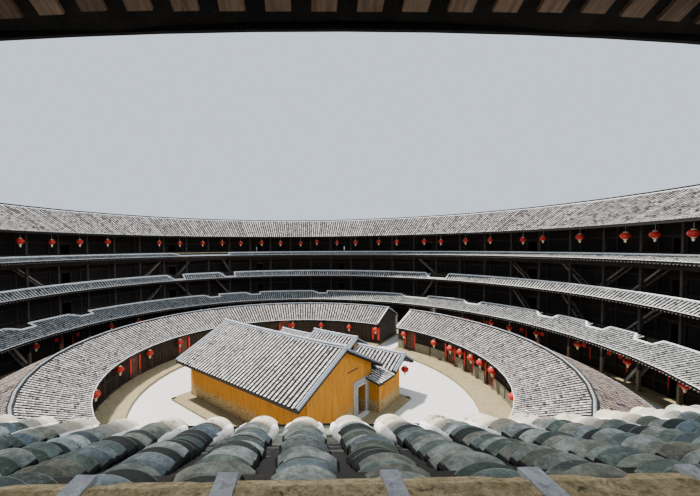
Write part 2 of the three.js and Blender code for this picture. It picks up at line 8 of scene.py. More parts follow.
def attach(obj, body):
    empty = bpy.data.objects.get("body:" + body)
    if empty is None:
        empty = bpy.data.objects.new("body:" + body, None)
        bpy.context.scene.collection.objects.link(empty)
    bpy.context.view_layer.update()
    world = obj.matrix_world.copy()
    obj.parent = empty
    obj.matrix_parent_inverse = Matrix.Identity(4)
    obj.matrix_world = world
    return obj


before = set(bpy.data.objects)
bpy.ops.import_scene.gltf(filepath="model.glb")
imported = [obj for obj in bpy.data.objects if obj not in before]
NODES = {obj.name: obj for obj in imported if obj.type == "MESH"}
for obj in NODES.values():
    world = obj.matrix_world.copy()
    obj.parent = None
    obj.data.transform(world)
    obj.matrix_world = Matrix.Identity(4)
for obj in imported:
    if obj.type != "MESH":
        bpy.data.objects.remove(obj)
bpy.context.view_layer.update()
S = 0.5
BAYS = 52
CIRCLE = 2 * pi
BAY = CIRCLE / BAYS
X, Y, UP = np.eye(3)
rng = np.random.default_rng(7)

M = {}
SLOTS = {**dict.fromkeys(("ridge_tiles", "sill_mortar", "lime", "eave_plaster", "grey_tile_bits", "weathered_lime",
                          "verge_tiles"), "grey_tile"),
         **dict.fromkeys(("kerb_stone", "pale_stone", "pale_masonry"), "granite")}


# ---------------------------------------------------------------- shapes on the rings
def facet(radius, bearing):
    """True distance from the axis of a ring whose corners lie at that radius, at a bearing."""
    off = (np.asarray(bearing) / BAY + 0.5) % 1 - 0.5
    return radius * cos(BAY / 2) / np.cos(off * BAY)


def on_ring(radius, bearing, z):
    r = facet(radius, bearing)
    return np.stack(np.broadcast_arrays(r * np.sin(bearing), -r * np.cos(bearing), z), -1)


def axes_at(bearing):
    """Unit vectors along the ring and outwards at a bearing."""
    return (np.array([cos(bearing), sin(bearing), 0.0]),
            np.array([sin(bearing), -cos(bearing), 0.0]))


def signed(angle):
    """The same angle between -pi and pi."""
    return (angle + pi) % CIRCLE - pi


def unit(v):
    return v / np.linalg.norm(v)


def tube_faces(n, sides, closed=False):
    """Quads between n rings of points, and caps on both ends of an open tube."""
    faces = []
    for i in range(n if closed else n - 1):
        here, there = i * sides, (i + 1) % n * sides
        faces += [[here + j, here + (j + 1) % sides, there + (j + 1) % sides, there + j] for j in range(sides)]
    return faces if closed else faces + [list(range(sides))[::-1], list(range((n - 1) * sides, n * sides))]


def swept(outline, bearings, closed=False):
    """Points and faces of an outline of [radius, z] swept round the axis, with caps unless it is closed."""
    v = np.stack([on_ring(r, bearings, z) for r, z in outline], 1)
    n, k = v.shape[:2]
    i, j = np.ogrid[:n if closed else n - 1, :k]
    here, there, ahead = i * k, (i + 1) % n * k, (j + 1) % k
    faces = np.stack([here + j, there + j, there + ahead, here + ahead], -1).reshape(-1, 4).tolist()
    if not closed:
        faces += [list(range(k)), list(range(n * k - k, n * k))[::-1]]
    return v.reshape(-1, 3), faces


def put(name, data):
    """An object in the scene for a mesh, camera or light."""
    o = bpy.data.objects.new(name, data)
    bpy.context.scene.collection.objects.link(o)
    return o


def add_mesh(name, verts, faces, look, slot=None, body="house", attributes=(), smooth=False):
    """A piece from points in real metres and a list of faces, with the look's material; the slot is worked out but not
    used.
    """
    me = bpy.data.meshes.new(name)
    me.from_pydata((np.asarray(verts, float) * S).tolist(), [], faces)
    me.materials.append(M[look])
    for key, values, domain in attributes:
        me.attributes.new(key, "FLOAT", domain).data.foreach_set("value", np.asarray(values, np.float32))
    me.polygons.foreach_set("use_smooth", [smooth] * len(me.polygons))
    me.update()
    o = put(name, me)
    slot = slot or SLOTS.get(look, "dark_timber")
    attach(o, body)


def ring_bar(name, outline, look, steps=4, start=0.0, end=None):
    """A ring or arc with a closed outline, corners at the bays' ends."""
    whole = end is None
    span = CIRCLE if whole else end - start
    n = max(2, round(span / BAY * steps))
    b = start + BAY / 2 * whole + np.arange(n + (not whole)) * span / n
    v, faces = swept(outline, b, whole)
    add_mesh(name, v, faces, look, attributes=[("tint", rng.random(len(faces)), "FACE")])


BOX_FACES = [[0, 2, 3, 1], [4, 5, 7, 6], [0, 1, 5, 4], [2, 6, 7, 3], [0, 4, 6, 2], [1, 3, 7, 5]]
RAFTER_DEEP = 0.03


class Soup:
    """Collects closed shapes for one joined piece."""

    def __init__(self):
        self.v, self.f, self.t, self.n = [], [], [], 0

    def add(self, verts, faces, tint=None):
        verts = np.asarray(verts, float).reshape(-1, 3)
        self.v.append(verts)
        self.f += [[i + self.n for i in f] for f in faces]
        self.t += [rng.random() if tint is None else tint] * len(faces)
        self.n += len(verts)

    def box(self, centre, along, across, up, size):
        a, b, u = (np.asarray(axis, float) * s / 2 for axis, s in zip((along, across, up), size))
        self.add([np.asarray(centre) + a * i + b * j + u * k for k in (-1, 1) for j in (-1, 1) for i in (-1, 1)],
                 BOX_FACES)

    def squares(self, *boxes):
        """Boxes square to the model's axes: x, y and z of the middle, then the three sizes."""
        for b in boxes:
            self.box(b[:3], X, Y, UP, b[3:])

    def block(self, bearing, across, away, height, size):
        """A box square to a ring; its place and size are along the ring, outwards and up."""
        t, out = axes_at(bearing)
        self.box(out * away + t * across + UP * height, t, out, UP, size)

    def beam(self, p, q, across, wide, deep):
        """A bar between two points; across is the direction of its width."""
        d = unit(q - p)
        self.box((p + q) / 2, d, across, np.cross(d, across), (np.linalg.norm(q - p), wide, deep))

    def rafter(self, bearing, r0, r1, under, wide):
        """A flat bar below a roof from one radius to another; under gives the height of the roof's underside."""
        p, q = (on_ring(r, bearing, under(r) - 0.018) for r in (r0, r1))
        self.beam(p, q, axes_at(bearing)[0], wide, RAFTER_DEEP)

    def pier(self, b0, b1, r0, r1, z0, z1):
        """A curved block between two bearings."""
        b = np.linspace(b0, b1, max(2, int(abs(b1 - b0) / 0.03) + 1))
        self.add(*swept([(r0, z0), (r1, z0), (r1, z1), (r0, z1)], b))

    def tube(self, path, radius, sides=8, tint=None, squash=1.0, closed=False):
        """A round bar along a path of points; the section's height is radius times squash."""
        p = np.asarray(path, float)
        d = np.gradient(p, axis=0) if not closed else np.roll(p, -1, 0) - np.roll(p, 1, 0)
        d /= np.linalg.norm(d, axis=1)[:, None]
        side = np.cross(d, UP)
        side /= np.maximum(np.linalg.norm(side, axis=1)[:, None], 1e-9)
        up = np.cross(side, d)
        a = np.arange(sides) * CIRCLE / sides
        radius = np.broadcast_to(np.asarray(radius, float), (len(p),))[:, None, None]
        ring = np.cos(a)[None, :, None] * side[:, None] + squash * np.sin(a)[None, :, None] * up[:, None]
        self.add(p[:, None] + radius * ring, tube_faces(len(p), sides, closed), tint)

    def turned(self, centre, profile, sides, ribs=0.0):
        """A turned shape from [radius, height] points; ribs pulls in every other meridian."""
        a = np.arange(sides) * CIRCLE / sides
        scale = 1 - ribs * (np.arange(sides) % 2)
        v = [(centre[0] + r * s * cos(t), centre[1] + r * s * sin(t), centre[2] + h)
             for r, h in profile for t, s in zip(a, scale)]
        self.add(v, tube_faces(len(profile), sides))

    def piece(self, name, look, slot=None, body="house", smooth=False):
        add_mesh(name, np.concatenate(self.v), self.f, look, slot, body, [("tint", self.t, "FACE")], smooth)


# ---------------------------------------------------------------- camera and light, fitted to the photo
EYE = Vector((-18.03, 20.82, 11.8)) * S
FOCAL_PX, IMAGE_W, IMAGE_H, CENTRE_X, CENTRE_Y = 335.5, 700, 496, 304.2, 258.5
YAW, PITCH, ROLL = radians(0.28), radians(1.93), radians(0.42)
SENSOR_MM = 36


def make_camera():
    heading = atan2(-EYE.y, -EYE.x) - YAW
    forward = Vector((cos(heading) * cos(PITCH), sin(heading) * cos(PITCH), -sin(PITCH)))
    right = forward.cross(Vector((0, 0, 1))).normalized()
    up = right.cross(forward)
    rolled_right = cos(ROLL) * right - sin(ROLL) * up
    rolled_up = sin(ROLL) * right + cos(ROLL) * up
    data = bpy.data.cameras.new("camera")
    data.sensor_width = SENSOR_MM
    data.lens = SENSOR_MM * FOCAL_PX / IMAGE_W
    data.shift_x = (IMAGE_W / 2 - CENTRE_X) / IMAGE_W
    data.shift_y = (CENTRE_Y - IMAGE_H / 2) / IMAGE_W
    data.clip_start, data.clip_end = 0.05, 500
    cam = put("camera", data)
    cam.matrix_world = Matrix.Translation(EYE) @ Matrix((rolled_right, rolled_up, -forward)).transposed().to_4x4()
    bpy.context.scene.camera = cam


def make_light():
    world = bpy.data.worlds.new("studio")
    bpy.context.scene.world = world
    world.use_nodes = True
    back = world.node_tree.nodes["Background"]
    back.inputs["Color"].default_value = (0.78, 0.88, 1.0, 1)
    back.inputs["Strength"].default_value = 1.1
    forward = Vector((-EYE.x, -EYE.y, 0)).normalized()
    left = Vector((-forward.y, forward.x, 0))
    up = Vector((0, 0, 1))
    for name, way, strength, angle, colour in (
        ("key", left * 0.36 + forward * 0.13 + up, 9.0, 3, (1.0, 0.95, 0.87)),
        ("low_fill", forward + left * 0.15 + up * 0.32, 2.1, 25, (1.0, 0.93, 0.82)),
        ("side_fill", -left * 0.9 - forward * 0.45 + up * 0.7, 1.2, 40, (0.86, 0.94, 1.0)),
    ):
        data = bpy.data.lights.new(name, "SUN")
        data.energy = strength
        data.angle = radians(angle)
        data.color = colour
        put(name, data).rotation_euler = way.to_track_quat("Z", "Y").to_euler()


# ---------------------------------------------------------------- materials
def scaled(colour, factor, plus=0.0):
    return tuple(min(1, c * factor + plus) for c in colour)


class Nodes:
    """Short calls for a new material's node tree. Numbers and colours go straight onto the sockets."""

    def __init__(self, name):
        M[name] = bpy.data.materials.new(name)
        M[name].use_nodes = True
        self.tree = M[name].node_tree
        self.shader = self.tree.nodes["Principled BSDF"]
        self.coords = self.base = None

    def plug(self, source, socket):
        if isinstance(source, tuple):
            source = (*source, 1) if socket.type == "RGBA" else source
        if isinstance(source, (int, float, tuple)):
            socket.default_value = source
        else:
            self.tree.links.new(source, socket)

    def node(self, kind, inputs, out=0, **values):
        n = self.tree.nodes.new(kind)
        for key, value in values.items():
            setattr(n, key, value)
        for socket, source in inputs.items():
            self.plug(source, n.inputs[socket])
        return n.outputs[out]

    def place(self, vector=None):
        """The given vector, or else the point in the object's own metres."""
        if vector is None and self.coords is None:
            self.coords = self.node("ShaderNodeTexCoord", {}, "Object")
        return self.coords if vector is None else vector

    def attribute(self, name):
        return self.node("ShaderNodeAttribute", {}, "Fac", attribute_name=name)

    def math(self, operation, a, b=0.0):
        return self.node("ShaderNodeMath", {0: a, 1: b}, operation=operation)

    def mul(self, a, b):
        return self.math("MULTIPLY", a, b)

    def add(self, a, b):
        return self.math("ADD", a, b)

    def mix(self, fac, a, b, amount=None):
        """From a to b by a factor, times an amount."""
        fac = fac if amount is None else self.mul(fac, amount)
        return self.node("ShaderNodeMix", {"Factor": fac, 6: a, 7: b}, 2, data_type="RGBA")

    def ramp(self, fac, *stops):
        n = self.node("ShaderNodeValToRGB", {0: fac}).node
        while len(n.color_ramp.elements) < len(stops):
            n.color_ramp.elements.new(0.5)
        for e, (place, colour) in zip(n.color_ramp.elements, stops):
            e.position = place
            e.color = (*colour, 1) if isinstance(colour, tuple) else (colour, colour, colour, 1)
        return n.outputs[0]

    def fade(self, fac, zero, full, most=1.0):
        """0 where fac is at zero or past it on that side, and most from full on."""
        return self.ramp(fac, *sorted(((zero, 0.0), (full, most))))

    def noise(self, scale, detail=4.0, rough=0.55, vector=None, warp=0.0):
        return self.node("ShaderNodeTexNoise", {"Vector": self.place(vector), "Scale": scale, "Detail": detail,
                                                "Roughness": rough, "Distortion": warp}, "Fac")

    def over(self, fac, colour, amount=None):
        """Lays a colour over the base."""
        self.base = self.mix(fac, self.base, colour, amount)

    def spots(self, colour, amount, zero, full, *grain, where=None):
        """Lays a colour over the base where a noise of that grain fades in."""
        fac = self.fade(self.noise(*grain), zero, full)
        self.over(fac if where is None else self.mul(fac, where), colour, amount)

    def cells(self, scale, vector, feature="DISTANCE_TO_EDGE", out="Distance"):
        return self.node("ShaderNodeTexVoronoi", {"Vector": vector, "Scale": scale}, out, feature=feature)

    def courses(self, across):
        """For courses one unit wide: a random value for each, and the distance to its nearer edge."""
        part = self.math("FRACT", across)
        shade = self.node("ShaderNodeTexWhiteNoise", {"W": self.math("FLOOR", across)}, "Value", noise_dimensions="1D")
        return shade, self.math("MINIMUM", part, self.math("SUBTRACT", 1.0, part))

    def stretch(self, x, y, z, vector=None):
        return self.node("ShaderNodeVectorMath", {0: self.place(vector), 1: (x, y, z)}, operation="MULTIPLY")

    def split(self, vector=None):
        return self.node("ShaderNodeSeparateXYZ", {0: self.place(vector)}).node.outputs

    def join(self, x, y, z):
        return self.node("ShaderNodeCombineXYZ", {0: x, 1: y, 2: z})

    def polar(self, radius):
        """Distance round the ring at a radius (model metres), distance from the axis, and height."""
        x, y, z = self.split()
        angle = self.math("ARCTAN2", x, self.mul(y, -1.0))
        away = self.math("SQRT", self.add(self.mul(x, x), self.mul(y, y)))
        return self.join(self.mul(angle, radius), away, z)

    def finish(self, rough, bump, strength, distance):
        normal = self.node("ShaderNodeBump", {"Strength": strength, "Distance": distance, "Height": bump})
        for socket, source in (("Base Color", self.base), ("Roughness", rough), ("Specular IOR Level", 0.3),
                               ("Normal", normal)):
            self.plug(source, self.shader.inputs[socket])


# Near black, painted shadow: the gaps between tiles, the tile steps and the row ends.
GAP_SHADOW = (0.006, 0.006, 0.006)


def tile_material(name, dark, light, accents, cream=(0.80, 0.78, 0.74), mottle=0.35, stain=0.0):
    """Clay tiles: each one has its own shade, with lichen, dust and pitted skin, a painted shadow below the tile above,
    a painted highlight on its lower rim and painted shade at the foot of each row's sides; the lowest tints are shadow
    gaps.
    """
    n = Nodes(name)
    tint, run = n.attribute("tint"), n.attribute("run")
    middle = tuple((a + b) / 2 for a, b in zip(dark, light))
    n.base = n.ramp(tint, (0.0, GAP_SHADOW), (0.05, GAP_SHADOW), (0.08, scaled(dark, 0.45)), (0.3, dark), (0.6, middle),
                  (1.0, light))
    for k, accent in enumerate(accents):
        lot = n.math("FRACT", n.mul(tint, 31.7 + 17.3 * k))
        n.over(n.fade(lot, 0.70, 0.74), accent, n.fade(tint, 0.1, 0.2, 0.55))
    lit = n.fade(tint, 0.06, 0.2)
    n.spots(scaled(dark, 0.5), mottle, 0.48, 0.62, 3.5, 6, 0.65, where=lit)
    n.spots(light, 0.4, 0.50, 0.78, 30, 6, 0.75, where=lit)
    # Painted shadow: a dark band at the start of each tile, where the tile above overlaps it.
    n.over(n.ramp(run, (0.0, 0.95), (0.10, 0.6), (0.40, 0.0)), scaled(dark, 0.3))
    # Painted highlight: a pale band along each tile's lower rim.
    n.over(n.fade(run, 0.93, 0.98, 0.3) if stain else n.fade(run, 0.84, 0.93, 0.5), light)
    if stain:
        n.spots(scaled(dark, 0.5), stain, 0.58, 0.44, 20, 8, 0.78, where=lit)
        n.spots(light, 0.45 * stain, 0.56, 0.64, 75, 7, 0.8, where=lit)
    n.spots(scaled(dark, 0.3), 0.3, 0.42, 0.30, 120, 3, 0.6)
    worn = n.fade(n.noise(16, 6, 0.72), 0.36, 0.46)
    lime_colour = n.mix(n.noise(60, 4), scaled(cream, 0.6), cream, tint)
    n.over(n.mul(n.attribute("lime"), worn), lime_colour, 0.85)
    # Painted shade: near black at the foot of each row's two sides.
    n.over(n.fade(n.attribute("side"), 0.97, 0.80), (0.003, 0.003, 0.004))
    n.finish(0.85, n.add(n.noise(90, 5, 0.65), n.mul(n.noise(25, 3), 1.5)), 0.35, 0.004)


def pan_material(name):
    """The channels between the rows of tiles: near black, partly dirt and damp, partly painted shade, with leaves and
    grit.
    """
    n = Nodes(name)
    n.base = n.ramp(n.noise(12, 6, 0.7), (0.3, (0.004, 0.004, 0.005)), (0.7, (0.018, 0.017, 0.016)))
    n.spots((0.16, 0.14, 0.12), 0.25, 0.62, 0.72, 60, 4, 0.7)
    n.finish(0.92, n.noise(45, 5, 0.7), 0.6, 0.006)


def lime_material(name, clean, dirty, amount):
    """Limewash; less dirt with a lower amount."""
    n = Nodes(name)
    n.base = clean
    n.spots(dirty, 0.75, amount + 0.22, amount, 9, 7, 0.7)
    n.spots((0.20, 0.20, 0.20), 0.5, 0.46, 0.36, 70, 4, 0.7)
    n.finish(0.9, n.noise(55, 5, 0.65), 0.5, 0.006)


def wood_material(name, dark, light, grain=(1.0, 1.0, 0.06), scale=60, wear=0.0, foot=None, ring=None):
    """Sawn boards and posts; grain runs along the axis with the small factor, or with ring outwards from the axis."""
    n = Nodes(name)
    fibre = n.noise(scale, 6, 0.65, n.stretch(*grain, n.polar(ring) if ring else None), 0.6)
    n.base = n.ramp(fibre, (0.30, dark), (0.70, light))
    n.spots(scaled(dark, 0.45), 0.45, 0.65, 0.35, 5, 4, 0.6)
    n.over(n.attribute("tint"), scaled(light, 1.5, 0.01), 0.35)
    if wear:
        n.spots((0.36, 0.33, 0.29), wear, 0.55, 0.75, 14, 6, 0.7)
    if foot:
        n.over(n.fade(n.split()[2], foot, foot - 0.05), (0.20, 0.15, 0.105),
               n.ramp(fibre, (0.3, 0.35), (0.7, 0.95)))
    n.finish(0.75, fibre, 0.5, 0.003)


def board_ring_material(name, radius, dark, light, board=0.11):
    """Upright boards round a ring, each with its own shade, dark joints between."""
    n = Nodes(name)
    theta, away, z = n.split(n.polar(radius))
    shade, seam = n.courses(n.math("DIVIDE", theta, board))
    fibre = n.noise(50, 6, 0.65, n.join(theta, away, n.mul(z, 0.07)), 0.4)
    n.base = n.mix(shade, n.ramp(fibre, (0.3, dark), (0.7, light)), scaled(dark, 0.4), 0.5)
    n.over(n.fade(seam, 0.05, 0.02), (0.004, 0.004, 0.004))
    n.finish(0.8, n.add(n.mul(fibre, 0.3), n.fade(seam, 0.0, 0.06)), 0.6, 0.006)


def earth_material(name, radius, earth, pale, streak):
    """Rammed earth in lifts, with washed streaks, cracks and shed lime."""
    n = Nodes(name)
    theta, away, z = n.split(n.polar(radius))
    shade, edge = n.courses(n.math("DIVIDE", n.add(z, n.mul(n.noise(1.2, 3), 0.04)), 0.21))
    n.base = n.mix(shade, n.mix(n.noise(2.2, 7, 0.65), earth, pale), scaled(earth, 0.7), 0.25)
    wash = n.noise(9, 6, 0.7, n.join(theta, away, n.mul(z, 0.08)), 0.3)
    n.over(n.fade(wash, 0.5, 0.75), streak, 0.55)
    n.spots((0.70, 0.62, 0.48), 0.4, 0.58, 0.7, 70, 4, 0.7)
    crack = n.fade(n.cells(0.45, n.join(theta, away, n.mul(z, 0.5))), 0.006, 0.0)
    crack = n.mul(crack, n.fade(n.noise(1.1, 5, 0.7), 0.45, 0.6))
    n.over(crack, (0.10, 0.07, 0.04), 0.7)
    seam = n.fade(edge, 0.07, 0.0)
    n.over(seam, scaled(earth, 0.4), 0.45)
    foot = n.fade(n.add(z, n.mul(n.noise(1.5, 4), 0.8)), 1.5, 0.6)
    n.over(foot, (0.23, 0.20, 0.15), 0.3)
    n.finish(0.95, n.math("SUBTRACT", n.noise(26, 7, 0.65), n.mul(n.add(crack, seam), 0.5)), 0.6, 0.02)


def cobble_material(name):
    """River stones laid in mortar."""
    n = Nodes(name)
    flat = n.stretch(1, 1, 1.5)
    edge = n.cells(5.5, flat)
    lot = n.split(n.cells(5.5, flat, "F1", "Color"))[0]
    stone = n.ramp(lot, (0.0, (0.22, 0.21, 0.19)), (0.5, (0.38, 0.35, 0.30)), (1.0, (0.52, 0.47, 0.40)))
    stone = n.mix(n.noise(40, 5, 0.7), stone, (0.25, 0.23, 0.20), 0.5)
    n.base = n.mix(n.fade(edge, 0.07, 0.02), stone, (0.20, 0.17, 0.13))
    n.finish(0.9, n.add(n.fade(edge, 0.0, 0.16), n.mul(n.noise(30, 4), 0.25)), 0.9, 0.03)


def stone_material(name, dark, light, scale=30, stain=0.35):
    n = Nodes(name)
    n.base = n.ramp(n.noise(scale, 7, 0.7), (0.3, dark), (0.7, light))
    n.spots(scaled(light, 1.5), 0.5, 0.6, 0.7, scale * 5, 3, 0.7)
    n.spots(scaled(dark, 0.45), stain, 0.45, 0.7, 2.5, 6, 0.7)
    n.finish(0.85, n.noise(scale * 2, 6, 0.7), 0.5, 0.006)


def ochre_material(name):
    """Limewashed earth of the hall: runs below the eave, bare patches, cracks and a foot of rubble."""
    n = Nodes(name)
    z = n.split()[2]
    n.base = n.mix(n.noise(1.6, 6, 0.6), (0.52, 0.185, 0.008), (0.74, 0.315, 0.018))
    runs = n.noise(15, 7, 0.75, n.stretch(1, 1, 0.05), 0.3)
    n.over(n.fade(runs, 0.46, 0.66), (0.30, 0.12, 0.015), 0.7)
    n.spots((0.52, 0.28, 0.07), 0.35, 0.45, 0.62, 2.6, 7, 0.7)
    n.over(n.fade(runs, 0.40, 0.25), (0.80, 0.48, 0.10), 0.5)
    foot = n.fade(n.add(z, n.mul(n.noise(3.0, 6, 0.7), -0.75)), 0.22, -0.30)
    rubble = n.fade(n.cells(8, n.stretch(1, 1, 1.6)), 0.02, 0.12)
    stones = n.mix(rubble, (0.20, 0.14, 0.055), (0.86, 0.68, 0.36), n.noise(22, 5, 0.7))
    n.over(foot, stones, 0.85)
    bare = n.fade(n.mul(n.noise(4, 7, 0.7), n.ramp(z, (0.1, 1.0), (0.9, 0.72))), 0.52, 0.57)
    n.over(bare, n.mix(n.noise(60, 4), (0.34, 0.25, 0.14), (0.58, 0.46, 0.30)), 0.8)
    crack = n.fade(n.cells(1.3, n.stretch(1, 1, 0.6)), 0.014, 0.0)
    crack = n.mul(crack, n.fade(n.noise(1.7, 5, 0.7), 0.46, 0.56))
    n.over(crack, (0.12, 0.07, 0.03), 0.8)
    n.finish(0.92, n.math("SUBTRACT", n.noise(30, 7, 0.65), n.mul(n.add(crack, bare), 0.6)), 0.5, 0.012)


def plain_material(name, a, b, scale=30, rough=0.7):
    n = Nodes(name)
    grain = n.noise(scale, 5, 0.65)
    n.base = n.mix(n.attribute("tint"), n.mix(grain, a, b), scaled(a, 0.55), 0.25)
    n.finish(rough, grain, 0.3, 0.003)


def lantern_material(name):
    """Red silk, its reds darkened in part as painted shade, with paler patches of painted sunlight."""
    n = Nodes(name)
    n.base = n.mix(n.noise(12, 4), (0.30, 0.004, 0.006), (0.54, 0.022, 0.014))
    n.spots((0.75, 0.16, 0.08), 0.3, 0.5, 0.7, 5, 3)
    n.finish(0.55, n.noise(80, 3), 0.2, 0.002)


def mortar_material(name):
    """Crumbly brown mortar with moss, straw and holes."""
    n = Nodes(name)
    n.base = n.ramp(n.noise(85, 8, 0.75), (0.30, (0.19, 0.13, 0.065)), (0.5, (0.74, 0.58, 0.33)),
                  (0.74, (0.99, 0.90, 0.66)))
    n.spots((0.34, 0.30, 0.13), 0.5, 0.48, 0.58, 18, 7, 0.75)
    n.spots((0.045, 0.035, 0.018), 0.85, 0.45, 0.37, 62, 8, 0.8)
    n.finish(0.98, n.add(n.noise(140, 7, 0.75), n.mul(n.noise(30, 5), 1.2)), 0.9, 0.010)


def make_materials():
    even = (1, 1, 1)
    mixed = (0.44, 0.36, 0.30), (0.30, 0.33, 0.38)
    tile_material("roof_tiles", (0.40, 0.37, 0.365), (0.97, 0.92, 0.90), mixed, mottle=0.25)
    tile_material("inner_ring_tiles", (0.24, 0.22, 0.215), (0.88, 0.82, 0.79), mixed, mottle=0.4)
    tile_material("main_roof_tiles", (0.17, 0.155, 0.15), (0.80, 0.75, 0.72), mixed, mottle=0.6)
    tile_material("back_slope_tiles", (0.12, 0.09, 0.075), (0.50, 0.39, 0.33), mixed, mottle=0.5)
    tile_material("skirt_tiles", (0.17, 0.19, 0.195), (0.76, 0.79, 0.78), mixed)
    tile_material("skirt_tiles_near", (0.075, 0.12, 0.11), (0.88, 0.97, 0.92),
                  ((0.50, 0.46, 0.32), (0.32, 0.44, 0.56), (0.12, 0.21, 0.15)), (0.92, 0.82, 0.66), 0.4, 0.6)
    tile_material("skirt_pans_near", (0.035, 0.045, 0.035), (0.26, 0.29, 0.24), ((0.20, 0.19, 0.12),), mottle=0.6)
    pan_material("pan_tiles")
    lime_material("lime", (0.95, 0.96, 0.97), (0.55, 0.57, 0.59), 0.34)
    lime_material("ridge_tiles", (0.50, 0.53, 0.58), (0.16, 0.18, 0.21), 0.46)
    lime_material("eave_plaster", (0.96, 0.95, 0.92), (0.72, 0.70, 0.66), 0.30)
    lime_material("weathered_lime", (0.66, 0.70, 0.78), (0.26, 0.29, 0.34), 0.46)
    lime_material("grey_tile_bits", (0.78, 0.83, 0.92), (0.42, 0.46, 0.52), 0.42)
    # Gallery timbers: dark wood, made near black also as painted shade of the deep galleries.
    wood_material("dark_timber", (0.008, 0.006, 0.005), (0.040, 0.029, 0.023))
    wood_material("post_timber", (0.014, 0.011, 0.009), (0.055, 0.043, 0.034), wear=0.2, foot=0.95)
    wood_material("rafters", (0.035, 0.020, 0.013), (0.37, 0.25, 0.18), (1, 0.05, 0.3), 55, 0.25, ring=25.5 * S)
    wood_material("weathered_rafters", (0.10, 0.085, 0.07), (0.34, 0.30, 0.26), even, 25)
    wood_material("stair_boards", (0.05, 0.043, 0.036), (0.20, 0.175, 0.15), even, 25)
    # Stair treads: worn wood, made paler also as painted light, since the stairs stand in shade.
    wood_material("worn_treads", (0.16, 0.14, 0.12), (0.50, 0.46, 0.41), even, 25)
    wood_material("door_boards", (0.05, 0.022, 0.012), (0.16, 0.08, 0.045), wear=0.2)
    # Room fronts and gallery floors: dark boards, made near black also as painted shade of the galleries.
    board_ring_material("room_front_boards", 28 * S, (0.004, 0.003, 0.003), (0.020, 0.014, 0.011))
    board_ring_material("inner_ring_boards", 15.6 * S, (0.022, 0.014, 0.009), (0.10, 0.062, 0.040))
    board_ring_material("floor_boards", 29 * S, (0.012, 0.009, 0.007), (0.05, 0.036, 0.027), 0.12)
    earth_material("rammed_earth", 34 * S, (0.43, 0.28, 0.13), (0.56, 0.41, 0.23), (0.28, 0.17, 0.08))
    earth_material("plastered_back_wall", 21 * S, (0.42, 0.36, 0.27), (0.55, 0.50, 0.41), (0.28, 0.24, 0.18))
    ochre_material("ochre_limewash")
    cobble_material("river_stones")
    stone_material("granite", (0.26, 0.26, 0.25), (0.46, 0.45, 0.43))
    stone_material("kerb_stone", (0.20, 0.16, 0.08), (0.40, 0.33, 0.19), 12)
    stone_material("pale_masonry", (0.095, 0.09, 0.062), (0.28, 0.26, 0.19), 10, 0.3)
    stone_material("pale_stone", (0.50, 0.50, 0.48), (0.70, 0.70, 0.67))
    stone_material("studio_floor", (0.62, 0.61, 0.58), (0.70, 0.69, 0.66), 3, 0.05)
    mortar_material("sill_mortar")
    lantern_material("lantern_silk")
    plain_material("lantern_gold", (0.80, 0.62, 0.30), (0.92, 0.84, 0.62), 60, 0.55)
    plain_material("red_paper", (0.60, 0.02, 0.02), (0.75, 0.06, 0.05), 25, 0.8)
    plain_material("iron", (0.02, 0.02, 0.02), (0.06, 0.05, 0.045), 60, 0.5)
    plain_material("verge_tiles", (0.10, 0.12, 0.15), (0.34, 0.38, 0.44), 25, 0.85)
    # Near black: painted shade, used for the line along the inner eave's underside.
    plain_material("painted_shade_black", (0.004, 0.004, 0.004), (0.012, 0.010, 0.009), 25, 0.9)


CAD_LOOKS = {
    "river_stones": "stone_base", "rammed_earth": "front_wall left_wall back_wall right_wall",
    "granite": "gate_frame side_door_frame", "door_boards": "gate_leaf right_ring_door left_ring_door",
    "kerb_stone": "ground_floor inner_ring_platform hall_apron", "floor_boards": "floor_",
    "room_front_boards": "room_fronts", "post_timber": "gallery_posts", "dark_timber": "gallery_rail",
    "pan_tiles": "skirt_roof main_roof inner_ring_roof main_hall_roof front_hall right_wing left_wing",
    "inner_ring_boards": "inner_ring_front", "plastered_back_wall": "inner_ring_back_wall",
    "ochre_limewash": "main_hall_walls front_hall_walls", "worn_treads": "left_stair right_stair",
}


def dress_cad():
    """Gives each CAD node the look whose longest prefix its name starts with."""
    look_of = {prefix: look for look, prefixes in CAD_LOOKS.items() for prefix in prefixes.split()}
    for name, o in NODES.items():
        prefix = max((p for p in look_of if name.startswith(p)), key=len)
        o.data.materials.clear()
        o.data.materials.append(M[look_of[prefix]])


# ---------------------------------------------------------------- tiled roofs
def tile_section(sides, thin):
    """Points of a tile's cross-section: places across, from -1 to 1, and heights."""
    if not thin:
        phi = np.linspace(0, pi, sides + 1)
        lateral = -np.cos(phi)
        return np.sign(lateral) * np.abs(lateral) ** 0.45, np.sin(phi)
    reach, tuck, edge = radians(58), 0.93, 0.12
    theta = np.linspace(-reach, reach, sides - 1)
    lateral = np.sin(theta) / sin(reach)
    arch = np.maximum((np.cos(theta) - cos(reach)) / (1 - cos(reach)), 0) + edge
    return (np.concatenate([[lateral[0] * tuck], lateral, [lateral[-1] * tuck]]),
            np.concatenate([arch[:1], arch, arch[-1:]]))


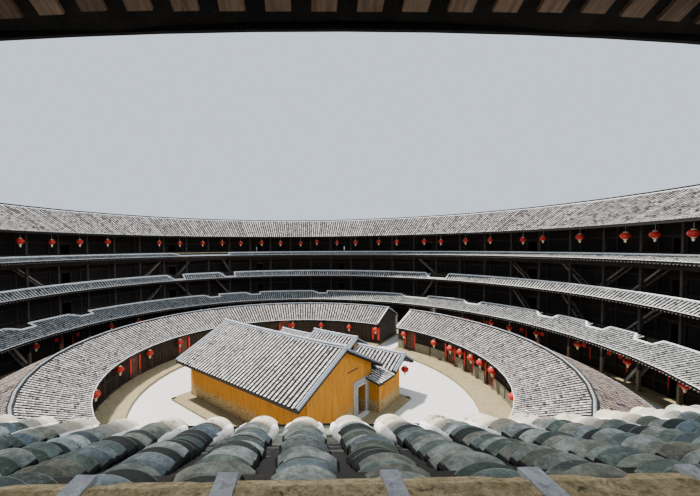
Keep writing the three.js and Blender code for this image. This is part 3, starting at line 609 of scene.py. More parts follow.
def tile_rows(name, tops, ends, normals, half_widths, count, sides, look, height=(0.05, 0.05), skirt=0.03,
              lime_tiles=0, lift=0.02, jitter=1.0, spread=0.27, thin=False, row_spread=0.07):
    """Rows of overlapping cover tiles, each row a strip from tops[i] to ends[i] with a step at every tile.

    The attribute side is 0 at the foot of a row's two sides, where the tile material paints shade, and run goes from 0
    to 1 along each tile.
    A thin row's tiles end at the roof's face, above a hollow darkened with painted shade.
    half_widths and height are (at the top, at the end); the strip's edges reach skirt below the roof's face.
    """
    n, rows = len(tops), 2 * count
    along = ends - tops
    side = np.cross(along / np.linalg.norm(along, axis=1)[:, None], normals)
    lateral, arch = tile_section(sides, thin)
    s = np.repeat(np.arange(count + 1) / count, 2)[1:-1]
    per_tile = lambda spread: np.repeat(rng.normal(0, spread * jitter, (n, count)), 2, axis=1)
    shift, drop = per_tile(0.006), per_tile(0.004)
    w, h = (a + (b - a) * s for a, b in (half_widths, height))
    w *= np.tile([0.97, 1.05], count)
    centre = (tops[:, None] + along[:, None] * s[None, :, None] + side[:, None] * shift[..., None]
              + normals[:, None] * (np.tile([0.0, lift], count) + drop)[..., None])
    rise = h[:, None] * arch
    rise[:, [0, -1]] = -skirt
    v = (centre[:, :, None] + side[:, None, None] * (w[:, None] * lateral)[None, :, :, None]
         + normals[:, None, None] * rise[None, :, :, None])
    m = len(lateral)
    i, r, j = np.ogrid[:n, :rows - 1, :m - 1]
    a = (i * rows + r) * m + j
    quads = np.stack([a, a + 1, a + 1 + m, a + m], -1).reshape(-1, 4)
    end = (np.arange(n)[:, None] * rows + rows - 1) * m + np.arange(m)
    caps = np.concatenate([end[:, [q, q + 1, m - 2 - q, m - 1 - q]] for q in range((m - 1) // 2)])
    shade = np.clip(rng.normal(0.55, spread, (n, count)) + rng.normal(0, row_spread, (n, 1)), 0.07, 1)
    lime = np.zeros((n, count))
    if lime_tiles:
        lime = np.clip(lime_tiles + rng.normal(0, 0.6, (n, 1)) - np.arange(count)[::-1], 0, 1)
    tile = np.arange(rows - 1) // 2
    # Step faces and row ends get near-black tints: painted shadow.
    step_shade = np.where(np.arange(rows - 1) % 2, 0.05, 1.0)
    tint = np.append(np.repeat(shade[:, tile] * step_shade, m - 1), np.full(len(caps), 0.03))
    lime_face = np.append(np.repeat(lime[:, tile], m - 1), np.tile(lime[:, -1], len(caps) // n))
    # side is 0 at the skirt points: there the tile material paints shade along the rows' sides.
    foot = np.ones(m)
    foot[[0, -1]] = 0
    if thin:
        foot[[1, -2]] = 0.45
    run = np.tile(np.repeat([0.0, 1.0], m), n * count)
    add_mesh(name, v.reshape(-1, 3), np.concatenate([quads, caps]).tolist(), look, "grey_tile",
             attributes=[("tint", tint, "FACE"), ("lime", lime_face, "FACE"),
                         ("side", np.tile(foot, n * rows), "POINT"), ("run", run, "POINT")])


def ring_rows(name, bearings, top, end, width, count, sides, look, tops_r=None, **more):
    """Rows on a ring's slope: top and end are [radius, z]; tops_r may hold a lower start for each row."""
    r0 = top[0] if tops_r is None else tops_r
    z0 = end[1] + (top[1] - end[1]) * (r0 - end[0]) / (top[0] - end[0])
    a, b = on_ring(r0, bearings, z0), on_ring(end[0], bearings, end[1])
    tangent = np.stack([np.cos(bearings), np.sin(bearings), np.zeros(len(bearings))], -1)
    normal = np.cross(tangent, b - a)
    normal *= np.sign(normal[:, 2:]) / np.linalg.norm(normal, axis=1)[:, None]
    tile_rows(name, a, b, normal, width, count, sides, look, **more)


EYE_BEARING = radians(220.9)


def row_bearings(radius, pitch, lo=0.0, hi=None):
    """Bearings of rows about pitch apart round a ring, one of them below the eye; from lo to hi if given."""
    n = round(CIRCLE * radius / pitch)
    b = np.sort((EYE_BEARING + np.arange(n) * CIRCLE / n) % CIRCLE)
    return b if hi is None else b[(b - lo) % CIRCLE < (hi - lo) % CIRCLE]


RIDGE_R, RIDGE_Z = 30.7, 16.28
EAVE_IN_R, EAVE_OUT_R, EAVE_Z = 25.28, 36.3, 13.42
ROOF_THICK = 0.17
QUARTER = BAYS / 4


def main_roof_tiles():
    for i, side in enumerate(("front", "left", "back", "right")):
        lo, hi = ((i * QUARTER + half) * BAY % CIRCLE for half in (-QUARTER / 2, QUARTER / 2))
        ring_rows(f"main_roof_inner_tiles_{side}", row_bearings(EAVE_IN_R, 0.31, lo, hi), (30.5, 16.18),
                  (EAVE_IN_R, EAVE_Z), (0.096, 0.080), 21, 3, "main_roof_tiles", lime_tiles=1, height=(0.065, 0.065),
                  spread=0.32, row_spread=0.2)
        ring_rows(f"main_roof_outer_tiles_{side}", row_bearings(EAVE_OUT_R, 0.34, lo, hi), (30.9, 16.18),
                  (36.25, 13.445), (0.085, 0.100), 17, 3, "main_roof_tiles", lime_tiles=1, row_spread=0.12)
    ring_ridge("main", RIDGE_R, 16.17, 0, CIRCLE, 0.25)


def ring_ridge(name, radius, z, lo, hi, half):
    """A ridge of laid tiles between two lines of lime, on a ring or an arc."""
    outline = [(radius - half * 0.6, z), (radius + half * 0.6, z), (radius + half * 0.5, z + 0.2),
               (radius, z + 0.26), (radius - half * 0.5, z + 0.2)]
    whole = hi - lo == CIRCLE
    ring_bar(f"{name}_ridge", outline, "ridge_tiles", 4, lo, None if whole else hi)
    soup = Soup()
    b = np.arange(4 * BAYS) * CIRCLE / (4 * BAYS) + BAY / 2 if whole else np.linspace(lo, hi, 100)
    for r in (radius - half * 0.85, radius + half * 0.85):
        soup.tube(on_ring(r, b, z + 0.05), 0.07 if whole else 0.04, 6, 0.0, 0.9, closed=whole)
    soup.piece(f"{name}_ridge_lime", "lime")


SKIRT_TOP_R, SKIRT_MID_R, NOTCH_R, NOTCH_HALF = 26.499, 25.5, 25.699, 0.75
SKIRT_PITCH, NEAR_PITCH, TILE_STEP, BELOW_RAIL = 0.31, 0.288, 0.156, 0.06
# Each storey's skirt roof: height of its top edge, (radius, z) of its eave, notches as bays or (bay, half width).
SKIRTS = {
    2: (4.74, (23.7, 3.84), [(0.3, 1.6), 4.9, 8.3, 10.3, 15.8, 17.8, 21.2, 24, 28, 31, 33.8, 36.5, 38.2, 41, 44, 45.4,
                             47, 49.8]),
    3: (8.05, (25.5, 7.3), [9.55, 11.95, 20.5, 31.5, (51.3, 1.2)]),
    4: (11.02, (25.5, 10.62), [(10.73, 3.7)]),
}
NEAR = radians(9)


def is_near(bearings):
    """True for the bearings in front of the camera, where the top skirt roof has finer tiles."""
    return np.abs(signed(bearings - EYE_BEARING)) < NEAR


def notches_of(storey):
    """Bearings where each notch of a skirt roof starts and ends, in order."""
    pairs = [n if isinstance(n, tuple) else (n, NOTCH_HALF) for n in SKIRTS[storey][2]]
    return sorted((bay * BAY - half / SKIRT_TOP_R, bay * BAY + half / SKIRT_TOP_R) for bay, half in pairs)


def skirt_tops(bearings, storey):
    """Where each row starts: at the rail, or below a notch."""
    tops = np.full(len(bearings), SKIRT_TOP_R - BELOW_RAIL)
    for lo, hi in notches_of(storey):
        tops[np.abs(signed(bearings - (lo + hi) / 2)) < (hi - lo) / 2 + 0.05 / 26] = NOTCH_R - BELOW_RAIL
    return tops


def skirt_edge(storey):
    """The limed top edge of a skirt roof as one path, stepping round its notches."""
    z_top, (r_end, z_end), _ = SKIRTS[storey]
    slope = (z_top - z_end) / (SKIRT_TOP_R - r_end)
    cuts = notches_of(storey)
    start = EYE_BEARING - CIRCLE + NEAR if storey == 4 else cuts[0][0]
    finish = EYE_BEARING - NEAR if storey == 4 else start + CIRCLE
    cuts = cuts + [(a + CIRCLE, b + CIRCLE) for a, b in cuts]
    points, here = [], start
    for a, b in [c for c in cuts if start <= c[0] < finish - 0.01] + [(finish, finish)]:
        points += [(SKIRT_TOP_R - 0.07, t) for t in np.append(np.arange(here, a, BAY / 4), a)[1 if points else 0:]]
        if b > a:
            points += [(NOTCH_R - 0.05, t) for t in np.linspace(a, b, max(3, int((b - a) / BAY * 4)))]
        here = b
    if storey != 4:
        points = points[:-1]
    return np.array([on_ring(r, b, z_end + slope * (r - r_end) + 0.06) for r, b in points])


def near_tiles(bearings):
    """Rows, pans and plaster of the top skirt roof in front of the camera."""
    ring_rows("skirt_4_tiles_near", bearings, (26.67, 11.065), (25.44, 10.61), (0.114, 0.098), 18, 14,
              "skirt_tiles_near", lime_tiles=4.0, height=(0.044, 0.052), skirt=0.04, lift=0.024, jitter=1.3,
              spread=0.36, thin=True)
    ring_rows("skirt_4_pans_near", bearings + NEAR_PITCH / 2 / SKIRT_MID_R, (26.67, 11.078), (25.46, 10.643),
              (0.075, 0.075), 13, 6, "skirt_pans_near", height=(-0.03, -0.03), skirt=0.0, lift=0.012, spread=0.25)
    soup = Soup()
    for b in bearings:
        t = axes_at(b)[0]
        for s in (-1, 1):
            path = []
            for k, f in enumerate(np.linspace(0.62, 0.995, 9)):
                half = 0.110 - 0.016 * f + rng.normal(0, 0.002)
                z = 11.052 - 0.43 * f + 0.003 * sin(2.1 * k + 40 * b)
                path.append(on_ring(26.64 - 1.2 * f, b, z) + t * s * half)
            soup.tube(path, (0.006, 0.016, 0.024, 0.028, 0.030, 0.031, 0.031, 0.032, 0.028), 8, 0.0, 1.25)
    soup.piece("skirt_4_plaster", "eave_plaster", smooth=True)


def skirt_tiles():
    for storey, (z_top, (r, z), _) in SKIRTS.items():
        top = storey == 4
        b = row_bearings(SKIRT_MID_R, NEAR_PITCH if top else SKIRT_PITCH)
        if top:
            near_tiles(b[is_near(b)])
            b = b[~is_near(b)]
        start = skirt_tops(b, storey)
        for side, half in (("left", b < pi), ("right", b >= pi)):
            for level, r0 in (("", SKIRT_TOP_R - BELOW_RAIL), ("_low", NOTCH_R - BELOW_RAIL)):
                mask = half & (np.abs(start - r0) < 0.01)
                if mask.any():
                    ring_rows(f"skirt_{storey}_tiles_{side}{level}", b[mask], (SKIRT_TOP_R, z_top),
                              (r - 0.03, z - 0.01), (0.086, 0.082), max(1, int((r0 - r) / TILE_STEP)), 4, "skirt_tiles",
                              tops_r=start[mask], lime_tiles=1.8, spread=0.22)
        soup = Soup()
        soup.tube(skirt_edge(storey), 0.12, 6, 0.0, 0.7, closed=not top)
        soup.piece(f"skirt_{storey}_top_edge", "lime")
        around = (np.arange(4 * BAYS) / 4 + 0.5) * BAY
        if top:
            around = np.sort((around[~is_near(around)] - EYE_BEARING) % CIRCLE) + EYE_BEARING
        soup = Soup()
        soup.tube(on_ring(r - 0.02, around, z + 0.045), 0.026, 5, 0.0, closed=not top)
        soup.piece(f"skirt_{storey}_eave_lime", "lime")
        soup = Soup()
        slope = (z_top - z) / (SKIRT_TOP_R - r)
        for bearing in row_bearings(SKIRT_MID_R, SKIRT_PITCH) + SKIRT_PITCH / 2 / SKIRT_MID_R:
            t, out = axes_at(bearing)
            d = unit(out + UP * slope)
            soup.box(on_ring(r + 0.2, bearing, z - 0.165 + slope * 0.2), d, t, np.cross(d, t), (0.5, 0.07, 0.05))
        soup.piece(f"skirt_{storey}_rafters", "weathered_rafters")


def near_sill():
    """Mortar bed on the top gallery's rail, with broken tiles set in it."""
    outline = [(26.55, 11.0), (26.78, 11.05), (26.8, 11.1), (26.76, 11.125), (26.66, 11.125), (26.6, 11.1),
               (26.57, 11.06)]
    ring_bar("top_rail_mortar", outline, "sill_mortar", 8)
    soup, bits = Soup(), 376
    for b in EYE_BEARING + (np.arange(bits) + 0.53) * CIRCLE / bits:
        b += rng.normal(0, 0.0008)
        soup.box(on_ring(26.69, b, 11.122), *axes_at(b), UP, (0.05 + rng.random() * 0.015, 0.17, 0.016))
    soup.piece("top_rail_tile_bits", "grey_tile_bits")


# ---------------------------------------------------------------- timber under the main roof
def under_main(radius):
    """Height of the main roof's underside."""
    run = (RIDGE_R - EAVE_IN_R) if radius < RIDGE_R else (EAVE_OUT_R - RIDGE_R)
    return RIDGE_Z - ROOF_THICK - (RIDGE_Z - EAVE_Z) / run * abs(radius - RIDGE_R)


RAFTER_R, RAFTER_PITCH = 25.1, 0.285


def rafters():
    soup = Soup()
    for b in row_bearings(RAFTER_R, RAFTER_PITCH) + pi * RAFTER_PITCH / (CIRCLE * RAFTER_R):
        soup.rafter(b, 25.41, 26.58, under_main, 0.16)
        soup.rafter(b, 26.84, 27.96, under_main, 0.16)
    soup.piece("rafters_inner", "rafters")
    soup = Soup()
    for b in row_bearings(EAVE_OUT_R, 0.42):
        soup.rafter(b, 33.9, 36.15, under_main, 0.15)
    soup.piece("rafters_outer", "rafters")
    r0, r1 = 36.16, EAVE_OUT_R
    z0, z1 = under_main(r0), under_main(r1)
    ring_bar("outer_eave_board", [(r0, z0 - 0.05), (r1, z1 - 0.05), (r1, z1 + 0.02), (r0, z0 + 0.02)], "dark_timber", 2)
    # A near-black line along the inner eave's underside: painted shade.
    soup, n, r = Soup(), 260, 25.262
    b = np.arange(n) * CIRCLE / n
    soup.tube(np.stack([r * np.sin(b), -r * np.cos(b), np.full(n, 13.266)], -1), 0.03, 6, closed=True)
    soup.piece("inner_eave_pole", "painted_shade_black")


# ---------------------------------------------------------------- lanterns
def lantern(silk, gold, centre, width, hang):
    """A round lantern with caps, a tassel and a string that reaches hang above its centre."""
    w, tall, reach = width / 2, width * 0.37, 1.18
    angles = np.linspace(-reach, reach, 8)
    silk.turned(centre, [(w * cos(t), tall * sin(t) / sin(reach)) for t in angles], 24, 0.035)
    for sign in (-1, 1):
        gold.turned(centre, [(w * 0.40, h) for h in sorted((sign * tall * 0.97, sign * (tall + 0.07 * width)))], 14)
    gold.turned(centre, [(w * 0.12, -tall * 2.1), (w * 0.24, -tall * 1.8), (w * 0.2, -tall * 1.45),
                         (w * 0.1, -tall * 1.05)], 8)
    gold.turned(centre, [(0.008, tall), (0.008, hang)], 5)


# Places round the rings as bays, and on the inner ring as degrees.
TOP_LANTERNS = [17.9, 16.9, 15.9, 14.9, 12.8, 11.9, 10.8, 9.9, 9, 8, 7, 6, 5.2, 4.2, 3.2, 2.1, 1.2, 51.9, 51.2, 50.1,
                49.2, 47.9, 47.2, 46, 44.7, 43.9, 43, 42, 41, 40, 39, 37, 36, 35, *range(29, 18, -1)]
GROUND_LANTERNS = [17.6, 14.9, 13.8, 50.2, 49, 48.3, 47.3, 45.9, 44.4, 42.9, 5, 8, 11, 21, 23, 26, 29, 32, 35, 38, 40.5]
INNER_LANTERNS = [132.2, 115.8, 100.7, 84, 46, 32.1, 18.5, 5.6, -8.1, -22.9, -31, -36.1, -42, -47.1, -54.3, 150, 165,
                  178, *range(-72, -163, -18)]


def ring_lanterns():
    silk, gold = Soup(), Soup()
    for k in TOP_LANTERNS:
        c = on_ring(26.0, k * BAY + rng.normal(0, 0.003), 12.52 + rng.normal(0, 0.04))
        lantern(silk, gold, c, 0.66 + rng.normal(0, 0.03), under_main(26.0) - c[2])
    for k in GROUND_LANTERNS:
        c = on_ring(25.6, k * BAY, 2.62 + rng.normal(0, 0.05))
        lantern(silk, gold, c, 0.62, 3.96 - c[2])
    for deg in INNER_LANTERNS:
        c = on_ring(15.03, radians(deg), 1.9 + rng.normal(0, 0.03))
        lantern(silk, gold, c, 0.66, under_inner(15.03) - c[2])
    lantern(silk, gold, (-7.08, -3.95, 2.2), 0.6, 0.42)
    silk.piece("lantern_silk", "lantern_silk")
    gold.piece("lantern_trim", "lantern_gold")


# ---------------------------------------------------------------- timber of the galleries
# Heights of foot and head, and for each flight the bays of its foot and head.
FLIGHTS = {
    (3.81, 6.95): [(13.4, 12.5), (11.0, 11.9), (9.3, 10.1), (52.3, 51.7), (47.8, 48.5), (46.1, 46.8), (45.2, 44.2),
                   (25.4, 26.3), (36.2, 37.0)],
    (7.11, 10.05): [(16.6, 17.7), (13.5, 12.6), (12.1, 11.3), (9.3, 9.8), (51.3, 52.3), (47.7, 48.6), (45.9, 46.8),
                    (46.0, 45.0), (45.1, 44.1), (25.4, 26.3), (36.2, 37.0)],
}


def gallery_stairs():
    """Steep open flights, two strings and thin treads, from one gallery floor to the next."""
    soup = Soup()
    for (z0, z1), flights in FLIGHTS.items():
        for start, finish in flights:
            for r in (26.95, 27.6):
                soup.beam(on_ring(r, start * BAY, z0 + 0.1), on_ring(r, finish * BAY, z1 - 0.1),
                          axes_at((start + finish) / 2 * BAY)[1], 0.05, 0.13)
            for f in np.linspace(0.06, 0.94, 12):
                b = (start + (finish - start) * f) * BAY
                t, out = axes_at(b)
                soup.box(on_ring(27.275, b, z0 + (z1 - z0) * f), out, t, UP, (0.62, 0.22, 0.035))
    soup.piece("gallery_stairs", "stair_boards")


# Floor and ceiling of each storey.
STOREYS = [(0.15, 3.66), (3.8, 6.96), (7.1, 10.06), (10.2, 14.6)]
FRONT_R, BAY_HALF = 28, 1.6


def room_front_frames():
    """Stiles at the bays' ends, rails at four heights and a frame round each door."""
    frames, red = Soup(), Soup()
    for storey, (z0, z1) in enumerate(STOREYS):
        for bay in range(BAYS):
            b = bay * BAY
            frames.block((bay + 0.5) * BAY, 0, 27.955, (z0 + z1) / 2, (0.14, 0.08, z1 - z0 - 0.02))
            face = facet(FRONT_R, b)
            door, gate = bay % 4 == 0, storey == bay == 0
            half, head = (1.0, 3.0) if gate else (0.5, z0 + 2.05)
            for z in (z0 + 0.06, z0 + 1.0, z1 - 0.16, z0 + 2.25):
                split = door and z < head
                spans = ((-BAY_HALF, -half - 0.1), (half + 0.1, BAY_HALF)) if split else ((-BAY_HALF, BAY_HALF),)
                for x0, x1 in spans:
                    frames.block(b, (x0 + x1) / 2, face - 0.028, z, (x1 - x0, 0.055, 0.11))
            if door:
                for s in (-1, 1):
                    frames.block(b, s * (half + 0.05), face - 0.045, (z0 + head) / 2, (0.1, 0.09, head - z0 - 0.02))
                frames.block(b, 0, face - 0.045, head + 0.05, (2 * half + 0.2, 0.09, 0.1))
    for bay in (50, 48, 46, 45, 44, 16, 12):
        b = bay * BAY
        for s in (-1, 1):
            red.block(b, s * 0.55, facet(FRONT_R, b) - 0.096, 1.45, (0.09, 0.006, 1.2))
            red.block(b, s * 1.2, facet(FRONT_R, b) - 0.061, 2.0, (0.4, 0.006, 0.4))
    frames.piece("room_front_frames", "dark_timber")
    red.piece("room_front_papers", "red_paper")


def gallery_beams():
    """Beams and joists under the gallery floors, and arms and a purlin under each skirt roof."""
    beams, arms = Soup(), Soup()
    for storey, (floor, _) in enumerate(STOREYS[1:], 2):
        for k in range(BAYS * 4):
            b = (k / 4 + 0.5) * BAY
            deep, wide = (0.12, 0.09) if k % 4 else (0.22, 0.16)
            z = floor - 0.145 - deep / 2
            beams.beam(on_ring(26.84, b, z), on_ring(27.94, b, z), axes_at(b)[0], wide, deep)
        r, z = SKIRTS[storey][1]
        for bay in range(BAYS):
            b = (bay + 0.5) * BAY
            arms.beam(on_ring(r + 0.2, b, z - 0.26), on_ring(26.49, b, z - 0.26), axes_at(b)[0], 0.12, 0.12)
        ring_bar(f"skirt_{storey}_purlin", [(r + 0.3, z - 0.2), (r + 0.42, z - 0.2), (r + 0.42, z - 0.08),
                                            (r + 0.3, z - 0.1)], "dark_timber")
    beams.piece("gallery_beams", "dark_timber")
    arms.piece("skirt_arms", "dark_timber")


def outer_windows():
    """A wooden frame and upright bars in each window of the earth wall."""
    soup = Soup()
    for bay in range(BAYS):
        middle = 8.5 if bay % 2 else 11.6
        b = bay * BAY
        face = facet(33.72, b)
        for s in (-1, 1):
            soup.block(b, s * 0.243, face, middle, (0.06, 0.12, 0.79))
            soup.block(b, 0, face, middle + s * 0.366, (0.43, 0.12, 0.06))
        for x in (-0.14, -0.047, 0.047, 0.14):
            soup.block(b, x, face, middle, (0.03, 0.03, 0.68))
    soup.piece("outer_window_frames", "stair_boards")


def stud(soup, at, way):
    """A domed nail head whose axis lies along x."""
    a = np.arange(6) * pi / 3
    v = [at + Y * 0.022 * cos(u) + UP * 0.022 * sin(u) for u in a] + [at + X * way * 0.012]
    order = 1 if way > 0 else -1
    soup.add(v, [[j, (j + 1) % 6, 6][::order] for j in range(6)] + [list(range(6))[::-order]])


def gate_details():
    """Dressed stones round the gate, boards and battens on the leaves, iron studs and rings."""
    stones, boards, iron = Soup(), Soup(), Soup()
    front = -34.4 * cos(BAY / 2) - 0.012
    for s in (-1, 1):
        z = 0.16
        for tall in (0.72, 0.66, 0.74, 0.7):
            stones.squares((s * 1.18, front, z + tall / 2, 0.34, 0.03, tall - 0.012))
            z += tall
        stones.squares((s * 0.78, front, 3.17, 1.16, 0.03, 0.33))
        for k in range(7):
            y = -32.47 + 0.145 * k
            boards.box((s * 1.098, y, 1.57), Y, X, UP, (0.135, 0.014, 2.8))
            for z in np.arange(0.5, 2.9, 0.45):
                stud(iron, np.array([s * 1.0, y, z]), -s)
        for z in (0.55, 1.5, 2.5):
            boards.box((s * 1.12, -32.04, z), Y, X, UP, (0.96, 0.03, 0.13))
        iron.tube([(s * 0.985, -31.72 + 0.08 * cos(a), 1.29 + 0.08 * sin(a))
                   for a in np.linspace(0, CIRCLE, 15)[:-1]], 0.009, 6, closed=True)
    stones.squares((0, front, 3.17, 0.38, 0.03, 0.33), (0, -31.9, 0.075, 1.98, 0.2, 0.14))
    stones.piece("gate_stones", "pale_stone")
    boards.piece("gate_boards", "door_boards", "door_boards")
    iron.piece("gate_studs", "iron")


# ---------------------------------------------------------------- inner ring
IR_EAVE_R, IR_EAVE_Z, IR_RIDGE_R, IR_RIDGE_Z, IR_OUTER_R = 14.9, 2.57, 18.3, 4.05, 21.7
IR_THICK = 0.2
IR_GAP = radians(4.15)
IR_HALVES = ("left", IR_GAP, pi), ("right", pi, CIRCLE - IR_GAP)
IR_FRONT_R, IR_FACE_R, IR_LEAF_R = 15.5, 15.549, 15.585
IR_FLOOR_Z, IR_SILL_Z, IR_HEAD_Z = 0.15, 1.19, 2.1
IR_PITCH = 0.29
RIGHT_DOORS, LEFT_DOORS = (-10.0, -29.3, -38.5, -49.5), (49.7, 97.3, 121.0)


def under_inner(radius):
    """Height of the inner ring roof's underside."""
    slope = (IR_RIDGE_Z - IR_EAVE_Z) / (IR_RIDGE_R - IR_EAVE_R)
    return IR_RIDGE_Z - IR_THICK - slope * abs(radius - IR_RIDGE_R)


def inner_ring_roof():
    inset = 0.16 / 15
    for side, lo, hi in IR_HALVES:
        left = side == "left"
        b = row_bearings(IR_EAVE_R, IR_PITCH, lo + inset * left, hi - inset * (not left))
        ring_rows(f"inner_roof_tiles_{side}", b, (18.2, 4.005), (14.84, 2.545), (0.088, 0.070), 22, 4,
                  "inner_ring_tiles", lime_tiles=1, skirt=0.02, spread=0.24)
        b = row_bearings(IR_OUTER_R, 0.32, lo + 0.012, hi - 0.012)
        ring_rows(f"inner_roof_back_tiles_{side}", b, (18.4, 4.005), (IR_OUTER_R, IR_EAVE_Z), (0.085, 0.095), 15, 3,
                  "back_slope_tiles", lime_tiles=1, skirt=0.02, spread=0.2)
        ring_ridge(f"inner_{side}", IR_RIDGE_R, 3.95, lo, hi, 0.12)
        soup = Soup()
        soup.tube(on_ring(14.85, np.linspace(lo + inset, hi - inset, 100), 2.59), 0.022, 5, 0.0)
        soup.piece(f"inner_{side}_eave_lime", "lime")
        soup = Soup()
        way = 1 if left else -1
        edge = (IR_GAP + 0.004) * way % CIRCLE
        for ends in ((15.0, 18.2), (18.4, 21.6)):
            soup.tube([on_ring(r, edge + 0.09 / r * way, under_inner(r) + 0.25) for r in np.linspace(*ends, 6)],
                      0.085, 6, 0.3, 0.7)
        soup.piece(f"inner_verge_{side}", "lime")
    soup = Soup()
    for b in row_bearings(IR_EAVE_R, IR_PITCH) + 0.5 * IR_PITCH / IR_EAVE_R:
        if abs(signed(b)) >= IR_GAP + 0.02:
            soup.rafter(b, 14.98, 15.5, under_inner, 0.1)
    soup.piece("inner_eave_rafters", "rafters")
    soup = Soup()
    for s in (-1, 1):
        b = s * (IR_GAP + 0.12 / IR_RIDGE_R)
        t, out = axes_at(b)
        for r in np.arange(15.79, 20.7, 0.19):
            low, high = 0.16, under_inner(r) - 0.04
            soup.box(out * facet(r, b) + UP * (low + high) / 2, out, t, UP, (0.175, 0.03, high - low))
        soup.box(out * facet(18.15, b) + UP * 2.35, out, t, UP, (5.1, 0.12, 0.14))
    soup.piece("inner_gable_boards", "dark_timber")


def inner_front_arc(lo, hi, doors):
    """Bearings between the doors, as (from, to) pairs."""
    half = 0.62 / IR_FRONT_R
    cuts = sorted(radians(d) for d in doors)
    edges = [lo] + [e for c in cuts for e in (c - half, c + half)] + [hi]
    return zip(edges[::2], edges[1::2])


def uprights(soup, bearings, radius, size, z0, z1):
    """A row of bars square to the ring; size is along it and outwards."""
    for b in bearings:
        soup.block(b, 0, facet(radius, b), (z0 + z1) / 2, (*size, z1 - z0))


def inner_ring_front():
    frames, posts, bars, red, low, sills = (Soup() for _ in range(6))
    for lo, hi, doors, right in ((IR_GAP, pi, LEFT_DOORS, False), (-pi, -IR_GAP, RIGHT_DOORS, True)):
        for deg in doors:
            b = radians(deg)
            face = facet(15.55, b)
            for s in (-1, 1):
                frames.block(b, s * 0.61, face - 0.035, 1.2, (0.22, 0.07, 2.1))
                red.block(b, s * 0.62, face - 0.079, 1.32, (0.2, 0.008, 1.3))
            frames.block(b, 0, face - 0.035, 2.22, (1.3, 0.09, 0.14))
            red.block(b, 0, face - 0.09, 2.23, (1.1, 0.008, 0.12))
            frames.block(b, 0, face - 0.05, 0.19, (1.3, 0.12, 0.08))
        for deg in () if right else (7.4, 4.9):
            b = radians(deg)
            red.block(b, 0, facet(15.55, b) - 0.075, 1.3, (0.22, 0.15, 1.5))
        for p0, p1 in inner_front_arc(lo, hi, doors):
            n = max(1, round((p1 - p0) * IR_FRONT_R / 1.88))
            step = (p1 - p0) / n
            for i in range(n + 1):
                b = p0 + i * step
                foot = axes_at(b)[1] * (facet(15.42, b) - 0.02)
                posts.tube([foot + UP * z for z in (0.15, 0.6, 1.4, 2.36)], (0.085, 0.08, 0.078, 0.075), 8)
                posts.box(foot + UP * 0.17, *axes_at(b), UP, (0.26, 0.2, 0.05))
            for i in range(n):
                b0, b1 = p0 + i * step + 0.09 / IR_FRONT_R, p0 + (i + 1) * step - 0.09 / IR_FRONT_R
                if right:
                    low.pier(b0, b1, 15.44, IR_FACE_R, IR_FLOOR_Z, 1.12)
                    sills.pier(b0, b1, 15.41, IR_FACE_R, 1.12, IR_SILL_Z)
                    uprights(bars, np.arange(b0 + 0.05 / IR_FRONT_R, b1, 0.11 / IR_FRONT_R), IR_FRONT_R,
                             (0.035, 0.035), IR_SILL_Z, IR_HEAD_Z)
                    for z in (1.44, 1.85):
                        bars.pier(b0, b1, 15.48, 15.52, z - 0.02, z + 0.02)
                    sills.pier(b0, b1, 15.45, IR_FACE_R, IR_HEAD_Z, 2.2)
                else:
                    for inside, z0, z1 in ((15.44, IR_FLOOR_Z, 0.3), (15.47, 1.35, 1.43), (15.45, IR_HEAD_Z, 2.2)):
                        sills.pier(b0, b1, inside, IR_FACE_R, z0, z1)
                    uprights(bars, np.arange(b0 + 0.1 / 15.52, b1, 0.2 / 15.52), 15.52, (0.03, 0.05), 0.3, IR_HEAD_Z)
    frames.piece("inner_door_frames", "door_boards", "dark_timber")
    posts.piece("inner_ring_posts", "post_timber")
    bars.piece("inner_ring_bars", "dark_timber")
    red.piece("inner_door_paper", "red_paper")
    low.piece("inner_low_walls", "pale_masonry")
    sills.piece("inner_ring_rails", "dark_timber")
    for side, lo, hi in IR_HALVES:
        ring_bar(f"inner_eave_beam_{side}", [(15.32, 2.33), (15.5, 2.33), (15.5, 2.52), (15.32, 2.47)], "dark_timber",
                 4, lo, hi)
        ring_bar(f"inner_kerb_{side}", [(13.16, 0.0), (13.3, 0.0), (13.52, 0.15), (13.52, 0.2), (13.16, 0.2)],
                 "kerb_stone", 4, lo, hi)


def inner_door_leaves():
    """Boards, battens and a ring on each leaf; the right ones ride on the leaves that turn."""
    for side, doors in (("right", RIGHT_DOORS), ("left", LEFT_DOORS)):
        for number, deg in enumerate(doors, 1):
            b = radians(deg)
            t, out = axes_at(b)
            boards, metal = Soup(), Soup()
            for k in range(6):
                boards.block(b, -0.4 + 0.16 * k, IR_LEAF_R - 0.008, 1.13, (0.145, 0.016, 1.88))
            for z in (0.42, 1.12, 1.82):
                boards.block(b, 0, IR_LEAF_R - 0.028, z, (0.86, 0.028, 0.1))
            metal.tube([out * (IR_LEAF_R - 0.05) + t * (-0.36 + 0.03 * cos(a)) + UP * (1.05 + 0.045 * sin(a))
                        for a in np.linspace(0, CIRCLE, 9)[:-1]], 0.006, 5, closed=True)
            metal.turned(out * (IR_LEAF_R - 0.046) - t * 0.36 + UP * 1.08,
                         [(0.02, -0.015), (0.03, 0.0), (0.02, 0.015)], 8)
            body = f"right_ring_door_{number}" if side == "right" else "house"
            boards.piece(f"{side}_door_boards_{number}", "door_boards", "door_boards", body)
            metal.piece(f"{side}_door_ring_{number}", "iron", None, body)


# ---------------------------------------------------------------- the halls
def slope_rows(name, xs, top, end, count):
    """Rows down a hall's slope: top and end are [y, z]."""
    a, b = (np.stack([xs, np.full(len(xs), y), np.full(len(xs), z)], -1) for y, z in (top, end))
    normal = np.cross(X, (b - a)[0])
    normal *= np.sign(normal[2]) / np.linalg.norm(normal)
    tile_rows(name, a, b, np.tile(normal, (len(xs), 1)), (0.080, 0.080), count, 4, "roof_tiles", lime_tiles=1,
              skirt=0.02, jitter=0.8, spread=0.22)


